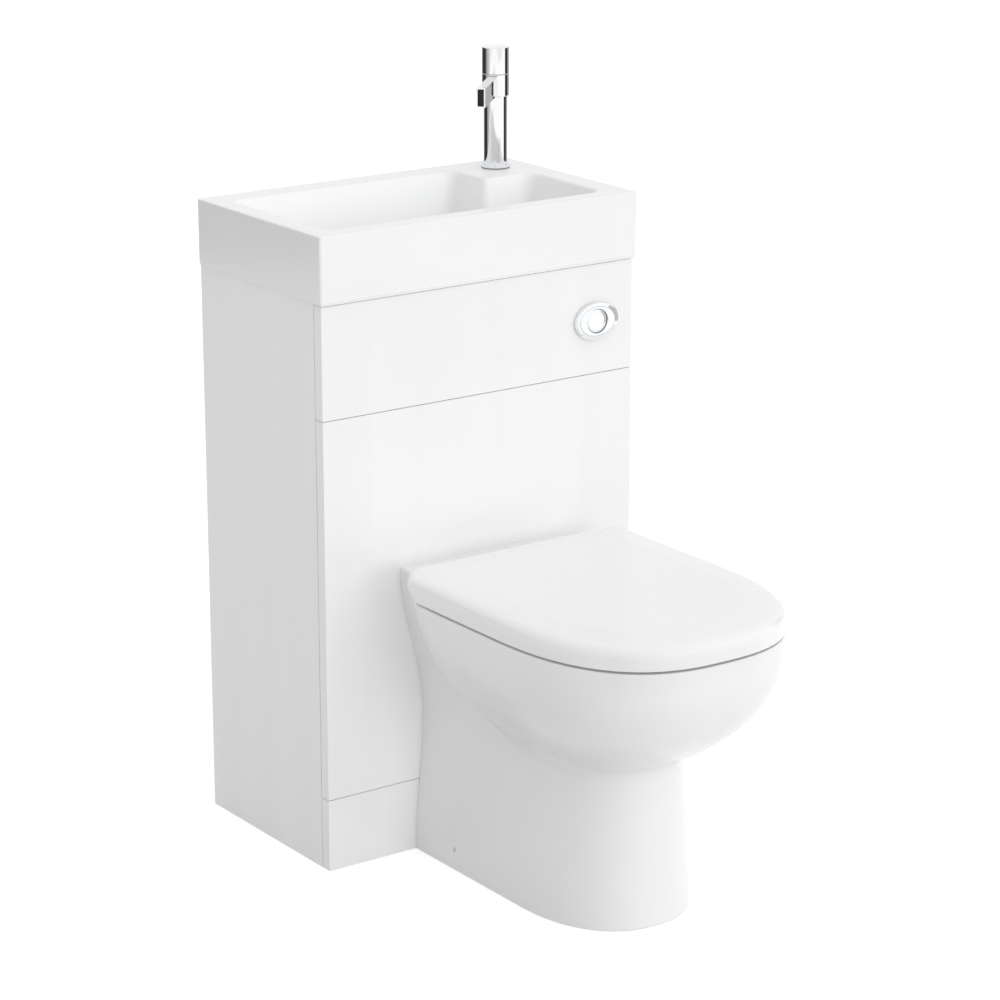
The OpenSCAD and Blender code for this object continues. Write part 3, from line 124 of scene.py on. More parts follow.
def formTree(name, inputs):
    # a Geometry Nodes tree with named inputs and one shape out
    tree = bpy.data.node_groups.new(name, "GeometryNodeTree")
    for label, kind in inputs:
        tree.interface.new_socket(label, in_out="INPUT", socket_type="NodeSocket" + kind)
    tree.interface.new_socket("made", in_out="OUTPUT", socket_type="NodeSocketGeometry")
    return tree, addNode(tree, "NodeGroupInput"), addNode(tree, "NodeGroupOutput")


def addTree(obj, name, tree, given):
    # a Geometry Nodes modifier with its inputs filled in by name
    modifier = obj.modifiers.new(name, "NODES")
    modifier.node_group = tree
    for socket in tree.interface.items_tree:
        if socket.in_out == "INPUT" and socket.name in given:
            modifier[socket.identifier] = given[socket.name]


# Materials

noiseSpan = (0.3, 0.7)   # the part of a noise's range that the ramps use


def makeSurface(name, deep, pale, cloudScale, rough, smearScale, grainScale, depth, extra):
    # two close colours in soft clouds, a roughness that wanders, and fine relief
    material, tree = paint(name)
    shader = tree.nodes["Principled BSDF"]
    place = addNode(tree, "ShaderNodeTexCoord")
    cloud = addNode(tree, "ShaderNodeTexNoise", {"Scale": cloudScale, "Detail": 3.0})
    smear = addNode(tree, "ShaderNodeTexNoise", {"Scale": smearScale})
    grain = addNode(tree, "ShaderNodeTexNoise", {"Scale": grainScale, "Detail": 2.0})
    tint = addNode(tree, "ShaderNodeValToRGB")
    for stop, position, colour in zip(tint.color_ramp.elements, noiseSpan, (deep, pale)):
        stop.position = position
        stop.color = (*colour, 1)
    polish = addNode(tree, "ShaderNodeMapRange", {
        "From Min": noiseSpan[0], "From Max": noiseSpan[1], "To Min": rough[0], "To Max": rough[1]})
    relief = addNode(tree, "ShaderNodeBump", {"Distance": depth, "Strength": extra.get("strength", 1.0)})
    join(tree, (place, "Object", cloud, "Vector"), (place, "Object", smear, "Vector"),
         (place, "Object", grain, "Vector"), (cloud, "Fac", tint, "Fac"),
         (tint, "Color", shader, "Base Color"), (smear, "Fac", polish, "Value"),
         (polish, "Result", shader, "Roughness"),
         (grain, "Fac", relief, "Height"), (relief, "Normal", shader, "Normal"))
    if "streak" in extra:   # the sheen and tone of foil on board run up and down
        upright = addNode(tree, "ShaderNodeMapping", {"Scale": (1, 1, extra["streak"])})
        join(tree, (place, "Object", upright, "Vector"), (upright, "Vector", cloud, "Vector"),
             (upright, "Vector", smear, "Vector"))
    fill(shader, {
        "IOR": 1.5, "Coat Roughness": 0.05, "Metallic": extra.get("metal", 0.0),
        "Coat Weight": extra.get("coat", 0.0), "Transmission Weight": extra.get("clear", 0.0),
        "Subsurface Weight": extra.get("soft", 0.0)})
    return material


# dark and pale colour, scale of their clouds, least and most roughness, scale of its smears, scale and
# depth of the fine relief, and what else a surface has
looks = {
    "white_board": ((0.872, 0.873, 0.877), (0.905, 0.906, 0.910), 16.0, (0.17, 0.23),
        6.0, 260.0, 0.000012, {"strength": 0.5, "streak": 0.04, "coat": 0.3}),
    "white_china": ((0.880, 0.884, 0.888), (0.902, 0.905, 0.908), 5.0, (0.17, 0.22),
        9.0, 38.0, 0.00008, {"strength": 0.25}),
    "seat_plastic": ((0.892, 0.893, 0.896), (0.910, 0.911, 0.914), 4.0, (0.15, 0.2),
        8.0, 90.0, 0.00003, {"strength": 0.4, "coat": 0.2}),
    "chrome": ((0.80, 0.81, 0.825), (0.86, 0.868, 0.88), 30.0, (0.03, 0.06),
        40.0, 300.0, 0.000004, {"strength": 0.3, "metal": 1.0}),
    "zinc_steel": ((0.50, 0.51, 0.53), (0.66, 0.67, 0.68), 120.0, (0.28, 0.42),
        60.0, 900.0, 0.00002, {"metal": 1.0}),
    "brass": ((0.62, 0.47, 0.22), (0.74, 0.58, 0.30), 90.0, (0.22, 0.34),
        70.0, 700.0, 0.00002, {"metal": 1.0}),
    "rubber": ((0.030, 0.030, 0.032), (0.045, 0.045, 0.048), 60.0, (0.55, 0.7),
        50.0, 1200.0, 0.00003, {}),
    "white_plastic": ((0.79, 0.80, 0.81), (0.83, 0.84, 0.85), 14.0, (0.34, 0.44),
        30.0, 1100.0, 0.00002, {}),
    "blue_plastic": ((0.045, 0.16, 0.42), (0.07, 0.21, 0.50), 20.0, (0.32, 0.42),
        30.0, 1000.0, 0.00002, {}),
    "clear_tube": ((0.80, 0.84, 0.86), (0.86, 0.89, 0.90), 30.0, (0.12, 0.2),
        60.0, 500.0, 0.00001, {"clear": 0.55}),
    "soft_buffer": ((0.66, 0.67, 0.68), (0.72, 0.73, 0.74), 60.0, (0.45, 0.6),
        60.0, 900.0, 0.00003, {"soft": 0.05}),
}
surfaces = {slotName: makeSurface(slotName, *look) for slotName, look in looks.items()}
print("materials", len(surfaces))


# Forms: points in millimetres and faces

def mix(a, b, t):
    return a + (b - a) * t


def softStep(t):
    t = min(max(t, 0.0), 1.0)
    return t * t * (3 - 2 * t)


def raised(loop, z):
    loop = np.asarray(loop, float)
    return np.column_stack([loop[:, 0], loop[:, 1], np.full(len(loop), float(z))])


def skin(count, many, closed):
    # faces between neighbouring rings, and between the last and the first when closed
    faces = []
    for i in range(many if closed else many - 1):
        up = (i + 1) % many
        for j in range(count):
            k = (j + 1) % count
            faces.append((i * count + j, i * count + k, up * count + k, up * count + j))
    return faces


def loft(rings, lowMid=None, highMid=None):
    # skin over rings of equally many points; the end rings close to a middle point or to one flat face
    count = len(rings[0])
    points = [np.asarray(ring, float) for ring in rings]
    faces = skin(count, len(rings), False)
    total = count * len(rings)
    for mid, ring in ((lowMid, 0), (highMid, len(rings) - 1)):
        if mid is None:
            faces.append(tuple(ring * count + j for j in range(count)))
        else:
            points.append(np.array([mid], float))
            faces.extend((total, ring * count + j, ring * count + (j + 1) % count) for j in range(count))
            total += 1
    return np.vstack(points), faces


def tyre(rings):
    # skin over rings that close on themselves
    return np.vstack([np.asarray(ring, float) for ring in rings]), skin(len(rings[0]), len(rings), True)


def quarter(count):
    # angles of a quarter turn
    return np.linspace(0, pi / 2, count)


def ellipseRing(wide, high, z, sides=96):
    a = np.linspace(0, 2 * pi, sides, endpoint=False)
    return np.column_stack([wide / 2 * np.cos(a), high / 2 * np.sin(a), np.full(sides, float(z))])


def circle(r, z, sides=96):
    return ellipseRing(2 * r, 2 * r, z, sides)


def lathe(profile, sides=96):
    # a profile of radius and height; ends on the axis close there, otherwise it is a closed ring
    rings = [circle(r, z, sides) for r, z in profile if r > 0]
    if profile[0][0] > 0:
        return tyre(rings)
    return loft(rings, (0, 0, profile[0][1]), (0, 0, profile[-1][1]))


def shifted(form, x=0.0, y=0.0, z=0.0):
    return form[0] + np.array([x, y, z]), form[1]


def rod(r, length, at, axis, sides=48):
    # axis names the direction in which the rod grows from its start
    points, faces = loft([circle(r, 0, sides), circle(r, length, sides)])
    if axis == "x":
        points = points[:, [2, 0, 1]]
    if axis == "y":
        points = points[:, [1, 2, 0]]
    return points + np.array(at, float), faces


def block(low, high):
    loop = [[low[0], low[1]], [high[0], low[1]], [high[0], high[1]], [low[0], high[1]]]
    return loft([raised(loop, low[2]), raised(loop, high[2])])


def mirrored(form):
    return form[0] * np.array([-1.0, 1.0, 1.0]), form[1]


def smoothPath(points, steps):
    # points on a smooth curve through the given ones
    p = np.asarray(points, float)
    made = []
    for i in range(len(p) - 1):
        a, b, c, d = p[max(i - 1, 0)], p[i], p[i + 1], p[min(i + 2, len(p) - 1)]
        for s in range(steps):
            t = s / steps
            made.append(0.5 * (2 * b + (c - a) * t + (2 * a - 5 * b + 4 * c - d) * t ** 2
                               + (3 * b - a - 3 * c + d) * t ** 3))
    return np.array(made + [p[-1]])


def sweep(path, r, sideways, sides):
    rings = []
    for i, here in enumerate(path):
        along = path[min(i + 1, len(path) - 1)] - path[max(i - 1, 0)]
        u = np.cross(along, sideways)
        u = u / np.linalg.norm(u)
        v = np.cross(along, u)
        v = v / np.linalg.norm(v)
        a = np.linspace(0, 2 * pi, sides, endpoint=False)[:, None]
        rings.append(here + r * (u * np.cos(a) + v * np.sin(a)))
    return loft(rings, path[0], path[-1])


def roundedLoop(corners, radii, steps, straight=1):
    # corners turn by right angles either way; straight is how many stretches a side is cut into
    corners = [np.array(c, float) for c in corners]
    arcs = []
    for k, here in enumerate(corners):
        before, after = corners[k - 1], corners[(k + 1) % len(corners)]
        u = (here - before) / np.linalg.norm(here - before)
        v = (after - here) / np.linalg.norm(after - here)
        arcs.append([here + radii[k] * ((1 - cos(a)) * v - (1 - sin(a)) * u)
                     for a in np.linspace(0, pi / 2, steps + 1)])
    loop = []
    for k, arc in enumerate(arcs):
        loop.extend(arc)
        start, end = arc[-1], arcs[(k + 1) % len(arcs)][0]
        loop.extend(mix(start, end, s / straight) for s in range(1, straight))
    return np.array(loop)


def dShape(half, back, mid, front, corner, power, frontSteps=112):
    # a D seen from above: arcs at the back, straight sides and a full round front
    a = quarter(9)
    right = np.column_stack([half - corner * (1 - np.cos(a)), back - corner * (1 - np.sin(a))])
    left = right[::-1] * np.array([-1, 1])
    b = np.linspace(pi, 2 * pi, frontSteps + 1)
    c, s = np.cos(b), np.sin(b)
    front = np.column_stack([half * np.sign(c) * np.abs(c) ** (2 / power),
                             mid - (mid - front) * np.abs(s) ** (2 / power)])
    return np.vstack([right, left, front])


def boxLoop(wide, high, r, steps, straight=1, middle=0.0):
    x, low, top = wide / 2, middle - high / 2, middle + high / 2
    return roundedLoop([(-x, low), (x, low), (x, top), (-x, top)], [r] * 4, steps, straight)


def toMesh(name, form):
    mesh = bpy.data.meshes.new(name)
    mesh.from_pydata([tuple(p) for p in np.asarray(form[0]) * milli], [], form[1])
    build = bmesh.new()
    build.from_mesh(mesh)
    bmesh.ops.remove_doubles(build, verts=build.verts, dist=weldReach)
    bmesh.ops.recalc_face_normals(build, faces=build.faces)
    build.to_mesh(mesh)
    build.free()
    return mesh


def formOf(obj):
    # the evaluated shape of an object, in millimetres
    bpy.context.view_layer.update()
    graph = bpy.context.evaluated_depsgraph_get()
    mesh = bpy.data.meshes.new_from_object(obj.evaluated_get(graph), depsgraph=graph)
    points = np.zeros(len(mesh.vertices) * 3)
    mesh.vertices.foreach_get("co", points)
    faces = [tuple(face.vertices) for face in mesh.polygons]
    bpy.data.meshes.remove(mesh)
    return points.reshape(-1, 3) / milli, faces


def plus(form):
    return "UNION", form


def less(form):
    return "DIFFERENCE", form


def combined(base, steps):
    # adds and cuts the forms one after the other; the result is a form again
    made = []
    for form in [base] + [step[1] for step in steps]:
        made.append(putIn("tool", toMesh("tool", form)))
    for (operation, form), tool in zip(steps, made[1:]):
        cut = made[0].modifiers.new("cut", "BOOLEAN")
        cut.operation = operation
        cut.solver = "MANIFOLD"
        cut.object = tool
    whole = formOf(made[0])
    for tool in made:
        old = tool.data
        bpy.data.objects.remove(tool)
        bpy.data.meshes.remove(old)
    return whole


def evenNormals(obj):
    modifier = obj.modifiers.new("evenNormals", "WEIGHTED_NORMAL")
    modifier.keep_sharp = True
    return modifier


def makePiece(name, form, slotName, body, nodes, angle):
    # angle is the bend in degrees beyond which an edge stays sharp
    mesh = toMesh(name, form)
    mesh.shade_smooth()
    mesh.set_sharp_from_angle(angle=radians(angle))
    mesh.materials.append(surfaces[slotName])
    obj = putIn(name, mesh)
    evenNormals(obj).weight = 60
    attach(obj, body)
    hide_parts(*nodes)
    build = bmesh.new()
    build.from_mesh(mesh)
    loose = sum(1 for edge in build.edges if len(edge.link_faces) != 2)
    millilitres = round(build.calc_volume() * 1e6, 2)
    print("piece", name, len(mesh.polygons), "faces, open edges", loose, "volume ml", millilitres)
    build.free()


# Pan: one china casting with its bowl, trapway and hollow foot

panSizes = {
    "rim": 388.0, "deck": 401.0, "rimHalf": 182.0, "rimBack": -77.0, "rimFront": -513.5, "rimMid": -275.0,
    "rimCorner": 45.0, "band": 0.05, "rimEdge": 1.3, "bandLow": 381.0, "bulgeFoot": 205.0, "taper": 0.6,
    "backHalf": 131.5, "waistHalf": 96.5, "waist": 200.0, "footHalf": 110.0, "footReach": 389.0,
    "footMid": -237.0, "deckReach": 110.0, "creaseReach": 178.0, "wall": 11.0, "hollowTop": 368.0,
    "sump": -262.0, "bowlLow": 58.0, "bowlHalf": 139.0, "bowlFront": -470.5, "bowlBack": -155.0,
    "underRim": 8.0, "rimWall": 36.0, "trap": 36.0, "outlet": 180.0, "outletR": 51.0, "spigot": 75.0,
    "inlet": 335.0, "inletR": 27.5, "inletBoss": 35.5, "centre": (0.0, -287.0), "blend": (26.0, 58.0),
    "seam": 1.5, "tuck": 3.0, "deckEdge": 5.0, "bowlEdge": 5.0, "hingeHalf": 77.5, "hinge": 75.0,
    "hingeHole": 7.0, "sideHole": (90.0, 28.0, 4.0), "power": 2.6, "turnRise": 8.0, "lean": 8.0,
    "creasePower": 0.9, "deckMid": -66.0, "columnCorner": 3.0, "columnPower": 2.3, "taperPower": 2.4,
    "pull": 95.0, "lowPull": 80.0, "lowPower": 12, "tailBack": -255.0, "tail": 1.06, "tailTop": 194.0,
    "bossIn": 82.0, "bossHalf": 16.0, "bossTop": 52.0,
}
ps = SimpleNamespace(**panSizes)


def columnHalf(z):
    if z < ps.waist:
        return mix(ps.footHalf, ps.waistHalf, softStep(z / ps.waist))
    return mix(ps.waistHalf, ps.backHalf, softStep((z - ps.waist) / (ps.deck - ps.waist)))


def columnFront(z):
    # nearly upright as far as the bulge, and then back to the deck
    turn, reach = ps.bulgeFoot + ps.turnRise, ps.footReach - ps.lean
    if z < turn:
        return -mix(ps.footReach, reach, z / turn)
    if z > ps.bandLow:
        return -ps.deckReach
    return -mix(reach, ps.creaseReach, ((z - turn) / (ps.bandLow - turn)) ** ps.creasePower)


def columnLoop(z, inset, back, steps=112):
    front = columnFront(z) + inset
    rise = max(z - ps.waist, 0) / (ps.deck - ps.waist)
    mid = mix(ps.footMid, ps.deckMid, softStep(rise))
    return dShape(columnHalf(z) - inset, back, mid, min(front, mid - 10), ps.columnCorner,
                  ps.columnPower, frontSteps=steps)


def bulgeLoop(z, inset, deepest=1.0):
    # deepest over 1 carries the bulge on below its foot, into the column
    fall = min(max((ps.bandLow - z) / (ps.bandLow - ps.bulgeFoot), 0), deepest)
    k = 1 - ps.taper * fall ** ps.taperPower
    back = ps.rimBack - ps.pull * fall - ps.lowPull * fall ** ps.lowPower
    if deepest > 1:
        back = max(back, ps.tailBack)
    front = ps.rimMid + (ps.rimFront - ps.rimMid) * k
    return dShape(ps.rimHalf * k - inset, back - inset, ps.rimMid, front + inset,
                  ps.rimCorner * k, ps.power)


def rimLoop(inset):
    return dShape(ps.rimHalf - inset, ps.rimBack - inset, ps.rimMid, ps.rimFront + inset,
                  ps.rimCorner, ps.power)


def reachOf(loop, centre, angles):
    # how far a ray from the centre goes before it leaves the loop for the last time
    a = loop - centre
    d = np.roll(a, -1, axis=0) - a
    ray = np.column_stack([np.cos(angles), np.sin(angles)])
    den = ray[:, 0:1] * d[:, 1] - ray[:, 1:2] * d[:, 0]
    den = np.where(np.abs(den) < 1e-12, 1e-12, den)
    t = (a[:, 0] * d[:, 1] - a[:, 1] * d[:, 0]) / den
    u = (a[:, 0] * ray[:, 1:2] - a[:, 1] * ray[:, 0:1]) / den
    hit = (u >= -1e-7) & (u <= 1 + 1e-7) & (t > 0)
    return np.where(hit, t, 0).max(axis=1)


def mergedLoop(columnPart, bulgePart, half, blend):
    # one outline round both loops, with a soft hollow where they meet
    centre = np.array(ps.centre)
    seam, tuck = ps.seam, ps.tuck
    last = atan2(-seam - 0.4 - centre[1], half)
    angles = np.linspace(-pi / 2, last, 170)
    r = reachOf(columnPart, centre, angles)
    if bulgePart is not None:
        other = reachOf(bulgePart, centre, angles)
        near = np.clip(blend - np.abs(r - other), 0, None) / blend
        near = np.where((r > 0) & (other > 0), near, 0)
        r = np.maximum(r, other) + near ** 2 * blend / 4
    right = centre + np.column_stack([r * np.cos(angles), r * np.sin(angles)])
    # the back edge stands a seam away from the cabinet and seats on it further in
    turn = np.array([(half - 0.12, -seam - 0.12), (half - 0.4, -seam), (half - tuck, -seam),
                     (half - tuck, -seam / 2), (half - tuck, 0.0)])
    right = np.vstack([right, turn])
    right[0, 0] = 0.0
    left = right[1:][::-1] * np.array([-1, 1])
    return np.vstack([right, [[0.0, 0.0]], left])


def blendAt(z):
    # the hollow between foot and bowl is crisp low down and fades out under the rim
    return mix(*ps.blend, softStep((z - ps.bulgeFoot) / (ps.bandLow - ps.bulgeFoot)))


def panOutside():
    rings = []
    levels = [0, 1.2, 14, 28, 42, 56, 70, 84, 98, 112, 126, 140, 154, 168, 181, 190]
    levels += list(np.linspace(194.5, ps.bandLow, 40))
    for z in levels:
        inset = 1.0 if z == 0 else 0.0
        bulgePart = bulgeLoop(z, 0, ps.tail) if z > ps.tailTop else None
        loop = mergedLoop(columnLoop(z, inset, 0, 180), bulgePart, columnHalf(z) - inset, blendAt(z))
        rings.append(raised(loop, z))
    deckLoop = columnLoop(ps.bandLow, 0, 0, 180)
    half, edge = columnHalf(ps.rim), ps.rimEdge
    rounding = [(0, ps.bandLow + 0.7)]
    rounding += [(edge * (1 - cos(a)), ps.rim - edge * (1 - sin(a))) for a in quarter(9)]
    for inset, z in rounding:
        rings.append(raised(mergedLoop(deckLoop, rimLoop(inset - ps.band), half, blendAt(ps.rim)), z))
    return loft(rings, (*ps.centre, 0), (*ps.centre, ps.rim))


def deckSlab():
    thin, edge, low = 0.05, ps.deckEdge, ps.deck - ps.deckEdge
    rings = [raised(columnLoop(z, thin, -thin), z) for z in (ps.rim - 6, ps.rim - 3, low)]
    for a in quarter(9)[1:]:
        loop = columnLoop(ps.deck, thin + edge * (1 - cos(a)), -thin)
        rings.append(raised(loop, low + edge * sin(a)))
    return loft(rings)


def egg(half, front, back):
    mid = mix(back, front, 0.42)
    a = np.linspace(0, 2 * pi, 112, endpoint=False)
    y = np.where(np.sin(a) > 0, back - mid, mid - front) * np.sin(a)
    return np.column_stack([half * np.cos(a), mid + y])


# shares of the bowl's height, half width and length
bowlProfile = [[0, 0.14, 0.1], [0.045, 0.25, 0.21], [0.21, 0.33, 0.28], [0.41, 0.42, 0.38],
               [0.54, 0.53, 0.54], [0.66, 0.76, 0.8], [0.82, 0.94, 0.965], [1, 1, 1]]


def bowlForm(grow):
    # grow 0 is the bowl itself; more gives the thicker form that the hollow keeps clear of
    rings = []
    for rise, width, spread in smoothPath(bowlProfile, 5):
        loop = egg((ps.bowlHalf + ps.underRim) * width + grow,
                   mix(ps.sump, ps.bowlFront - ps.underRim, spread) - grow,
                   mix(ps.sump, ps.bowlBack + ps.underRim, spread) + grow)
        z = mix(ps.bowlLow, ps.rim - ps.rimWall - 3, rise)
        rings.append(raised(loop, z - (grow if rise < 0.1 else grow * 0.4)))
    edge, start = ps.bowlEdge, ps.rim - ps.bowlEdge
    mouth = [(ps.underRim + grow, ps.rim - 2)]
    if grow == 0:
        mouth = [(0, ps.rim - ps.rimWall)]
        mouth += [(edge * (1 - cos(a)), start + edge * sin(a)) for a in np.linspace(0, 1.4, 8)]
        mouth += [(edge + 0.5, ps.deck + 5)]
    for out, z in mouth:
        rings.append(raised(egg(ps.bowlHalf + out, ps.bowlFront - out, ps.bowlBack + out), z))
    return loft(rings, (0, ps.sump, rings[0][0][2]), (0, ps.rimMid, rings[-1][0][2]))


trapRoute = [[0, ps.sump, 96], [0, ps.sump + 30, 93], [0, -196, 108], [0, -164, 160], [0, -133, 204],
             [0, -98, 206], [0, -66, 189], [0, -34, ps.outlet], [0, 2, ps.outlet]]


def trapway(grow):
    return sweep(smoothPath(trapRoute, 4), ps.trap + grow, np.array([1.0, 0, 0]), 36)


def backRod(r, length, y, z, sides=48):
    # a rod that runs towards the cabinet
    return rod(r, length, (0, y, z), "y", sides)


def panForm():
    innerColumn = [raised(columnLoop(z, ps.wall, 3), z) for z in np.linspace(-1, ps.hollowTop, 20)]
    low = ps.bulgeFoot + ps.wall
    innerBulge = [raised(bulgeLoop(z, ps.wall), z)
                  for z in mix(low, ps.hollowTop, np.linspace(0, 1, 16) ** 0.7)]
    holeY, holeZ, holeR = ps.sideHole
    bossHalf, thin = ps.bossHalf, ps.wall - 2
    boss = block((ps.bossIn, -holeY - bossHalf, -2), (ps.footHalf, -holeY + bossHalf, ps.bossTop))
    hollow = combined(loft(innerColumn, (0, ps.footMid, -1), (0, -55, ps.hollowTop)), [
        plus(loft(innerBulge, (0, ps.rimMid, low), (0, ps.rimMid, ps.hollowTop))),
        less(bowlForm(thin)),
        less(trapway(thin)),
        less(backRod(ps.outletR + 5, 56, -58, ps.outlet)),
        less(backRod(ps.inletBoss, 10 - ps.bowlBack, ps.bowlBack - 10, ps.inlet)),
        less(boss), less(mirrored(boss))])
    steps = [
        plus(deckSlab()), less(hollow), less(bowlForm(0)), less(trapway(0)),
        less(backRod(ps.inletR - 9, 30 - ps.bowlBack, ps.bowlBack - 20, ps.inlet)),
        plus(backRod(ps.outletR, ps.spigot + 3, -3, ps.outlet, 64)),
        less(backRod(ps.outletR - 8, ps.spigot + 9, -8, ps.outlet, 64)),
        less(backRod(ps.inletR, 30, -22, ps.inlet, 64))]
    for side, start in ((1, 81), (-1, -141)):
        steps.append(less(rod(holeR, 60, (start, -holeY, holeZ), "x")))
        hinge = (side * ps.hingeHalf, -ps.hinge, ps.rim - 60)
        steps.append(less(rod(ps.hingeHole, 80, hinge, "z")))
    return shifted(combined(panOutside(), steps), y=frontY)


makePiece("panCasting", panForm(), "white_china", "fixed", ["pan"], 38)


# Screw caps: a plug with a hole in each side of the pan's foot

capSizes = {"r": 3.95, "thick": 4.0, "sunk": 2.0, "hole": 2.3, "holeDeep": 3.4, "edge": 0.3}


def screwCapForm():
    c = capSizes
    low = c["thick"] - c["holeDeep"]
    turned = lathe([(0, 0), (c["r"], 0), (c["r"], c["thick"] - c["edge"]), (c["r"] - c["edge"], c["thick"]),
                    (c["hole"], c["thick"]), (c["hole"], low), (0, low)], 40)
    holeY, holeZ, _ = ps.sideHole
    right = shifted((turned[0][:, [2, 0, 1]], turned[1]), columnHalf(holeZ) - c["sunk"] - c["thick"],
                    frontY - holeY, holeZ)
    left, count = mirrored(right), len(right[0])
    return np.vstack([right[0], left[0]]), right[1] + [tuple(i + count for i in face) for face in left[1]]


makePiece("screwCaps", screwCapForm(), "white_plastic", "fixed", ["screw_caps"], 30)
print("pan done")


# Seat and lid

seatSizes = {
    "half": 183.0, "back": -67.5, "mid": -275.0, "front": -515.0, "corner": 38.0, "low": 391.4,
    "under": 420.0, "top": 425.0, "wall": 5.0, "lug": 13.0, "lugGap": 7.4, "barrel": 7.5, "hingeZ": 411.5,
    "pin": 4.05, "seatLow": 394.0, "seatThick": 17.0, "seatBack": -113.0, "openHalf": 108.0,
    "openFront": -445.0, "openBack": -175.0, "inset": 7.5, "power": 2.6, "lidLean": 0.3, "seatCorner": 30.0,
}
ss = SimpleNamespace(**seatSizes)
crown = [[0, 13], [0.5, 17.5], [1.8, 22], [4, 25.6], [7.2, 28.4], [11.5, 30.3], [17, 31.5], [25, 32.5],
         [34, 33.4], [41, 34.0], [44, 34.25], [47, 34.4], [52, 34.5]]   # inset and height up to the lid's top


def lidLoop(inset, steep=1.0):
    # steep below 1 keeps the back edge upright, so that the hinge lugs stay under it
    back = ss.back - inset * (steep if inset < 20 else mix(steep, 1, min((inset - 20) / 25, 1)))
    return dShape(ss.half - inset, back, ss.mid, ss.front + inset, max(ss.corner - inset, 2),
                  ss.power)


def hingeSteps(inner):
    # a lug on each side with its web, and then the bore for the pin; the seat's lugs are the inner ones
    steps = []
    low, high = ss.seatLow + 9.5, ss.seatLow + ss.seatThick - 2
    for side in (1, -1):
        near = ps.hingeHalf - ss.lugGap - ss.lug if inner else ps.hingeHalf + ss.lugGap
        x = near if side > 0 else -near - ss.lug
        web = block((x, -ps.hinge - ss.barrel, ss.hingeZ),
                    (x + ss.lug, -ps.hinge + ss.barrel - 4, ss.under - 2))
        if inner:
            web = block((x, ss.seatBack - 12, low), (x + ss.lug, -ps.hinge, high))
        steps += [plus(rod(ss.barrel, ss.lug, (x, -ps.hinge, ss.hingeZ), "x")), plus(web)]
    for side in (1, -1):
        start = (side * ps.hingeHalf - 40, -ps.hinge, ss.hingeZ)
        steps.append(less(rod(ss.pin, 80, start, "x")))
    return steps


def lidForm():
    wall, low, under = ss.wall, ss.low, ss.under
    inside = [(wall + 60, under), (wall + 40, under - 0.4), (wall + 18, under - 2.4), (wall + 8, under - 4.2),
              (wall + 2.5, under - 7), (wall, under - 12), (wall, low + 1.2), (wall - 0.4, low + 0.4),
              (wall - 1.2, low)]
    outside = [(1.6, low), (0.9, low + 0.2), (0.3, low + 0.7), (0, low + 1.6)]
    rings = [raised(lidLoop(inset), z) for inset, z in inside + outside]
    rings += [raised(lidLoop(max(inset, 0), ss.lidLean), ss.top - crown[-1][1] + z)
              for inset, z in smoothPath(crown, 3)]
    shell = loft(rings, (0, ss.mid, under), (0, ss.mid, ss.top))
    # the underside is cut free round the hinges: half the width, and heights with depths
    bay = ps.hingeHalf + 7 + ss.lug + 8
    cut = [[low - 5, -116], [low + 0.1, -114], [402.8, -98], [406.5, -86], [406.5, 0], [low - 5, 0]]
    prism = loft([np.array([[x, y, z] for z, y in cut]) for x in (-ss.half - 1, ss.half + 1)])
    steps = [less(block((-bay, -114, low - 5), (bay, -4, under))), less(prism)]
    return shifted(combined(shell, steps + hingeSteps(False)), y=frontY)


makePiece("seatCover", lidForm(), "seat_plastic", "lid", ["seat_lid"], 34)

seatSection = [[0.03, 0], [0, 0.12], [0, 0.55], [0.03, 0.8], [0.1, 0.94], [0.25, 1], [0.55, 1], [0.8, 0.9],
               [0.94, 0.7], [1, 0.42], [1, 0.15], [0.96, 0]]


def seatForm():
    outer = dShape(ss.half - ss.inset, ss.seatBack, ss.mid, ss.front + ss.inset,
                   ss.seatCorner, ss.power)
    mid = mix(ss.openBack, ss.openFront, 0.45)
    inner = []
    for x, y in outer:
        spread = ss.openBack - mid if y > mid else mid - ss.openFront
        a = atan2((y - mid) / spread, x / ss.openHalf)
        spread = ss.openBack - mid if sin(a) > 0 else mid - ss.openFront
        inner.append([ss.openHalf * cos(a), mid + spread * sin(a)])
    inner = np.array(inner)
    rings = [raised(mix(outer, inner, min(max(s, 0), 1)), ss.seatLow + ss.seatThick * min(max(h, 0), 1))
             for s, h in smoothPath(seatSection, 3)]
    return shifted(combined(tyre(rings), hingeSteps(True)), y=frontY)


makePiece("seatRing", seatForm(), "seat_plastic", "seat", ["seat_ring"], 40)
print("seat and lid done")


# Basin

basinSizes = {
    "wide": 500.0, "deep": 300.0, "low": 765.0, "top": 855.0, "left": -220.0, "right": 213.0,
    "front": -270.0, "back": -38.0, "deckLeft": 134.0, "deckFront": -113.0, "corner": 20.0,
    "deckCorner": 7.0, "fillet": 17.0, "draft": 5.0, "lip": 4.0, "deckThick": 14.0, "skirt": 16.0,
    "wall": 9.0, "floor": 789.0, "drop": 6.0, "dish": 32.0, "waste": (-45.0, -165.0), "wasteHole": 22.5,
    "tap": (196.0, -51.0), "tapHole": 17.5, "rimRound": 2.0, "skirtCorner": 3.5,
}
bs = SimpleNamespace(**basinSizes)


def basinLoop(inset):
    left, right = bs.left + inset, bs.right - inset
    front, back = bs.front + inset, bs.back - inset
    deckLeft, deckFront = bs.deckLeft - inset, bs.deckFront - inset
    corners = [(left, front), (right, front), (right, deckFront), (deckLeft, deckFront), (deckLeft, back),
               (left, back)]
    radii = [bs.corner - min(inset, 10) / 2] * 6
    radii[3] = bs.deckCorner + max(inset, -3)
    return roundedLoop(corners, radii, 9, 6)


